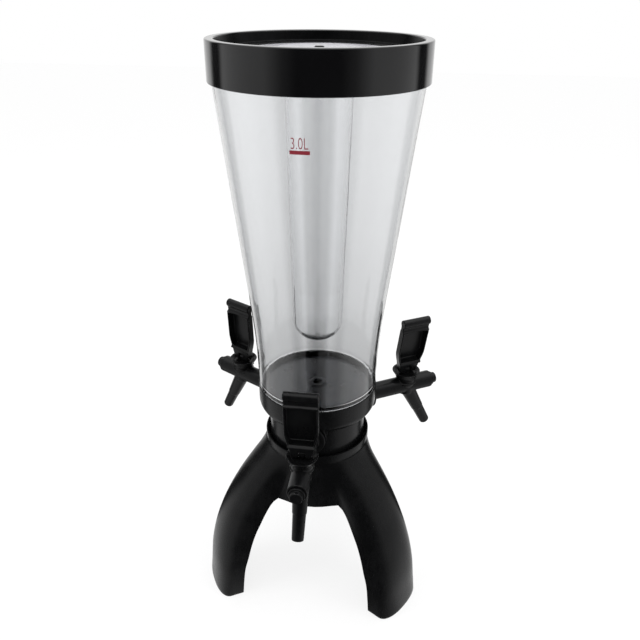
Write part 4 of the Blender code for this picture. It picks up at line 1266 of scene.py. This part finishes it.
def plungerMesh(shape):
    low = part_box("plunger_front")[0].z
    head = low + shape["sealRise"] + shape["gap"]
    headTop = head + shape["headRise"]
    edge = shape["headEdge"]
    outline = [(0, low), (shape["stem"], low, shape["edge"]), (shape["stem"], head)]
    outline += [(shape["head"], head, edge), (shape["head"], headTop, edge), (shape["stem"], headTop)]
    outline += [(shape["stem"], pinHeight), (0, pinHeight)]
    stem = turned(outline, shape["steps"], tapBlack, closed=False)
    half = shape["eyeWidth"] / 2
    end = half + overrun
    eye = rod(shape["eye"], -half, half, shape["steps"], tapBlack, shape["eyeEdge"])
    hole = rod(shape["pinHole"], -end, end, boreSteps, tapBlack)
    for mesh in (eye, hole):
        mesh.transform(Matrix.Translation((0, 0, pinHeight)) @ Matrix.Rotation(pi / 2, 4, "Y"))
    return carved(stem, [("UNION", eye), ("DIFFERENCE", hole)])


def springMesh(shape, low, high):
    mesh = grown("spring", {"Radius": shape["radius"], "Wire": shape["wire"], "Turns": shape["turns"],
                            "Height": high - low - 2 * shape["wire"], "Material": steel})
    mesh.transform(Matrix.Translation((0, 0, low + shape["wire"])))
    return mesh


# Levers: a blade with a rolled end and two side returns, on a forked foot; drawn about the pin
lever = {"width": 0.0303, "length": 0.0631, "roll": 0.0043, "rollStart": -55, "rollEnd": 228,
         "neck": 0.0020, "neckBack": 0.0026, "neckRise": 0.0016, "foot": 0.0042, "footWidth": 0.0187,
         "footEnd": 0.0160, "waist": 0.0240, "waistRise": 0.0109, "taperRise": 0.0240, "bends": 8,
         "bendLowShare": 0.86, "bendHighShare": 1.12, "ridgeReach": 0.0066, "ridgeDrop": 0.0020,
         "back": 0.0036, "front": 0.0042, "return": 0.0013, "pocketFloor": 0.0034, "pocketTop": 0.0540,
         "pocketCrown": 0.0022, "slot": 0.0031, "slotRise": 0.0052, "pinHole": 0.0017, "pin": 0.0015,
         "pinInset": 0.0012, "pinEdge": 0.0003, "rollBends": 36, "footBends": 20, "voxel": 0.00040,
         "soften": 2}
pinHeight = 0.2280
leverLeans = {"front": radians(4), "right": radians(11), "left": radians(2)}
swivels = {"front": 0, "right": radians(-90), "left": radians(90)}


def standing(mesh, turn=0):
    mesh.transform(Matrix.Rotation(turn, 4, "Z") @ Matrix.Rotation(pi / 2, 4, "X"))
    return mesh


def leverMesh(shape):
    half = shape["width"] / 2
    top = shape["length"] + shape["roll"]
    deep = shape["ridgeReach"] + overrun
    right = [(shape["footEnd"] / 2, -shape["foot"]), (shape["footWidth"] / 2, 0)]
    right.append((shape["waist"] / 2, shape["waistRise"]))
    bend = [right[-1], (half, shape["taperRise"] * shape["bendLowShare"]),
            (half, shape["taperRise"] * shape["bendHighShare"])]
    for step in range(1, shape["bends"] + 1):
        t = step / shape["bends"]
        right.append(tuple(bend[0][k] * (1 - t)**2 + 2 * bend[1][k] * t * (1 - t) + bend[2][k] * t * t
                           for k in range(2)))
    right.append((half, top))
    body = standing(prism(right + [(-x, y) for x, y in right[::-1]], -deep, deep))

    ridge = shape["waistRise"]
    side = arcPoints((0, 0), shape["foot"], -180, 0, shape["footBends"])
    side += [(shape["foot"], ridge - shape["ridgeDrop"]), (shape["ridgeReach"], ridge)]
    side += [(shape["front"], ridge + shape["ridgeDrop"]), (shape["front"], shape["pocketTop"])]
    neck = shape["pocketTop"] + shape["neckRise"]
    side.append((shape["neck"], neck))
    side += arcPoints((0, shape["length"]), shape["roll"], shape["rollStart"], shape["rollEnd"],
                      shape["rollBends"])
    side += [(-shape["neckBack"], neck), (-shape["back"], shape["pocketTop"]), (-shape["back"], ridge)]
    profile = standing(prism(side, -half - overrun, half + overrun), -pi / 2)

    pocket = half - shape["return"]
    lowPocket = shape["waist"] / 2 - shape["return"]
    crown = []
    for step in range(2 * shape["bends"] + 1):
        across = 1 - step / shape["bends"]
        crown.append((pocket * across, shape["pocketTop"] - shape["pocketCrown"] * across * across))
    start = ridge + shape["ridgeDrop"]
    outline = [(-lowPocket, start), (lowPocket, start), (pocket, shape["taperRise"])] + crown
    outline.append((-pocket, shape["taperRise"]))
    recess = standing(prism(outline, -shape["pocketFloor"], deep))
    slot, low = shape["slot"], -shape["foot"] - overrun
    fork = standing(prism([(-slot, low), (slot, low), (slot, shape["slotRise"]),
                           (-slot, shape["slotRise"])], -deep, deep))
    hole = rod(shape["pinHole"], -half, half, boreSteps, tapBlack)
    hole.transform(Matrix.Rotation(pi / 2, 4, "Y"))
    mesh = carved(body, [("INTERSECT", profile), ("DIFFERENCE", recess), ("DIFFERENCE", fork),
                         ("DIFFERENCE", hole)])
    return melted(mesh, shape["voxel"], shape["soften"])


def pinMesh(shape):
    end = shape["footWidth"] / 2 - shape["pinInset"]
    mesh = rod(shape["pin"], -end, end, boreSteps, steel, shape["pinEdge"])
    mesh.transform(Matrix.Rotation(pi / 2, 4, "Y"))
    return mesh


def makeTaps():
    body, end, cap = tapBodyMesh(tap), endPlugMesh(plug), bonnetMesh(bonnet)
    stem, blade, pin = plungerMesh(plunger), leverMesh(lever), pinMesh(lever)
    for name, turn in tapTurns.items():
        place = Matrix.Translation(axis) @ Matrix.Rotation(turn, 4, "Z")
        valve = place @ Matrix.Translation((0, -tap["reach"], 0)) @ Matrix.Rotation(swivels[name], 4, "Z")
        hinge = valve @ Matrix.Translation((0, 0, pinHeight)) @ Matrix.Rotation(leverLeans[name], 4, "X")
        keep(f"tap_pipe_{name}", body.copy(), "tower", [f"tap_body_{name}"], tapBlack, place)
        keep(f"end_knob_{name}", end.copy(), "tower", [f"end_plug_{name}"], None, place)
        keep(f"tap_bonnet_{name}", cap.copy(), f"bonnet_{name}", [f"bonnet_{name}"], tapBlack,
             place, sharp=bonnet["sharp"])
        keep(f"valve_plunger_{name}", stem.copy(), f"plunger_{name}", [f"plunger_{name}"],
             tapBlack, valve, sharp=plunger["sharp"])
        low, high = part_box(f"spring_{name}")
        coil = springMesh(spring, low.z, high.z)
        coiled = keep(f"coil_spring_{name}", coil, f"plunger_{name}", [f"spring_{name}"], None,
                      valve)
        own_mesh(coiled)
        keep(f"tap_lever_{name}", blade.copy(), f"lever_{name}", [f"lever_{name}"], tapBlack,
             hinge)
        keep(f"hinge_pin_{name}", pin.copy(), f"lever_{name}", [f"lever_pin_{name}"], None, hinge)


makeTaps()
print("taps:", len(tapTurns))


# The solids that stay: seals, ring, nuts and pads, each with its own finish
kept = {"foot_pad": rubber, "centring_ring": rubber, "floor_seal": rubber, "rim_seal": rubber,
        "tap_seal": rubber, "plunger_seal": rubber, "lock_nut": nylon}
for nodeName, node in nodes.items():
    for start, material in kept.items():
        if nodeName.startswith(start):
            node.data.materials.clear()
            node.data.materials.append(material)
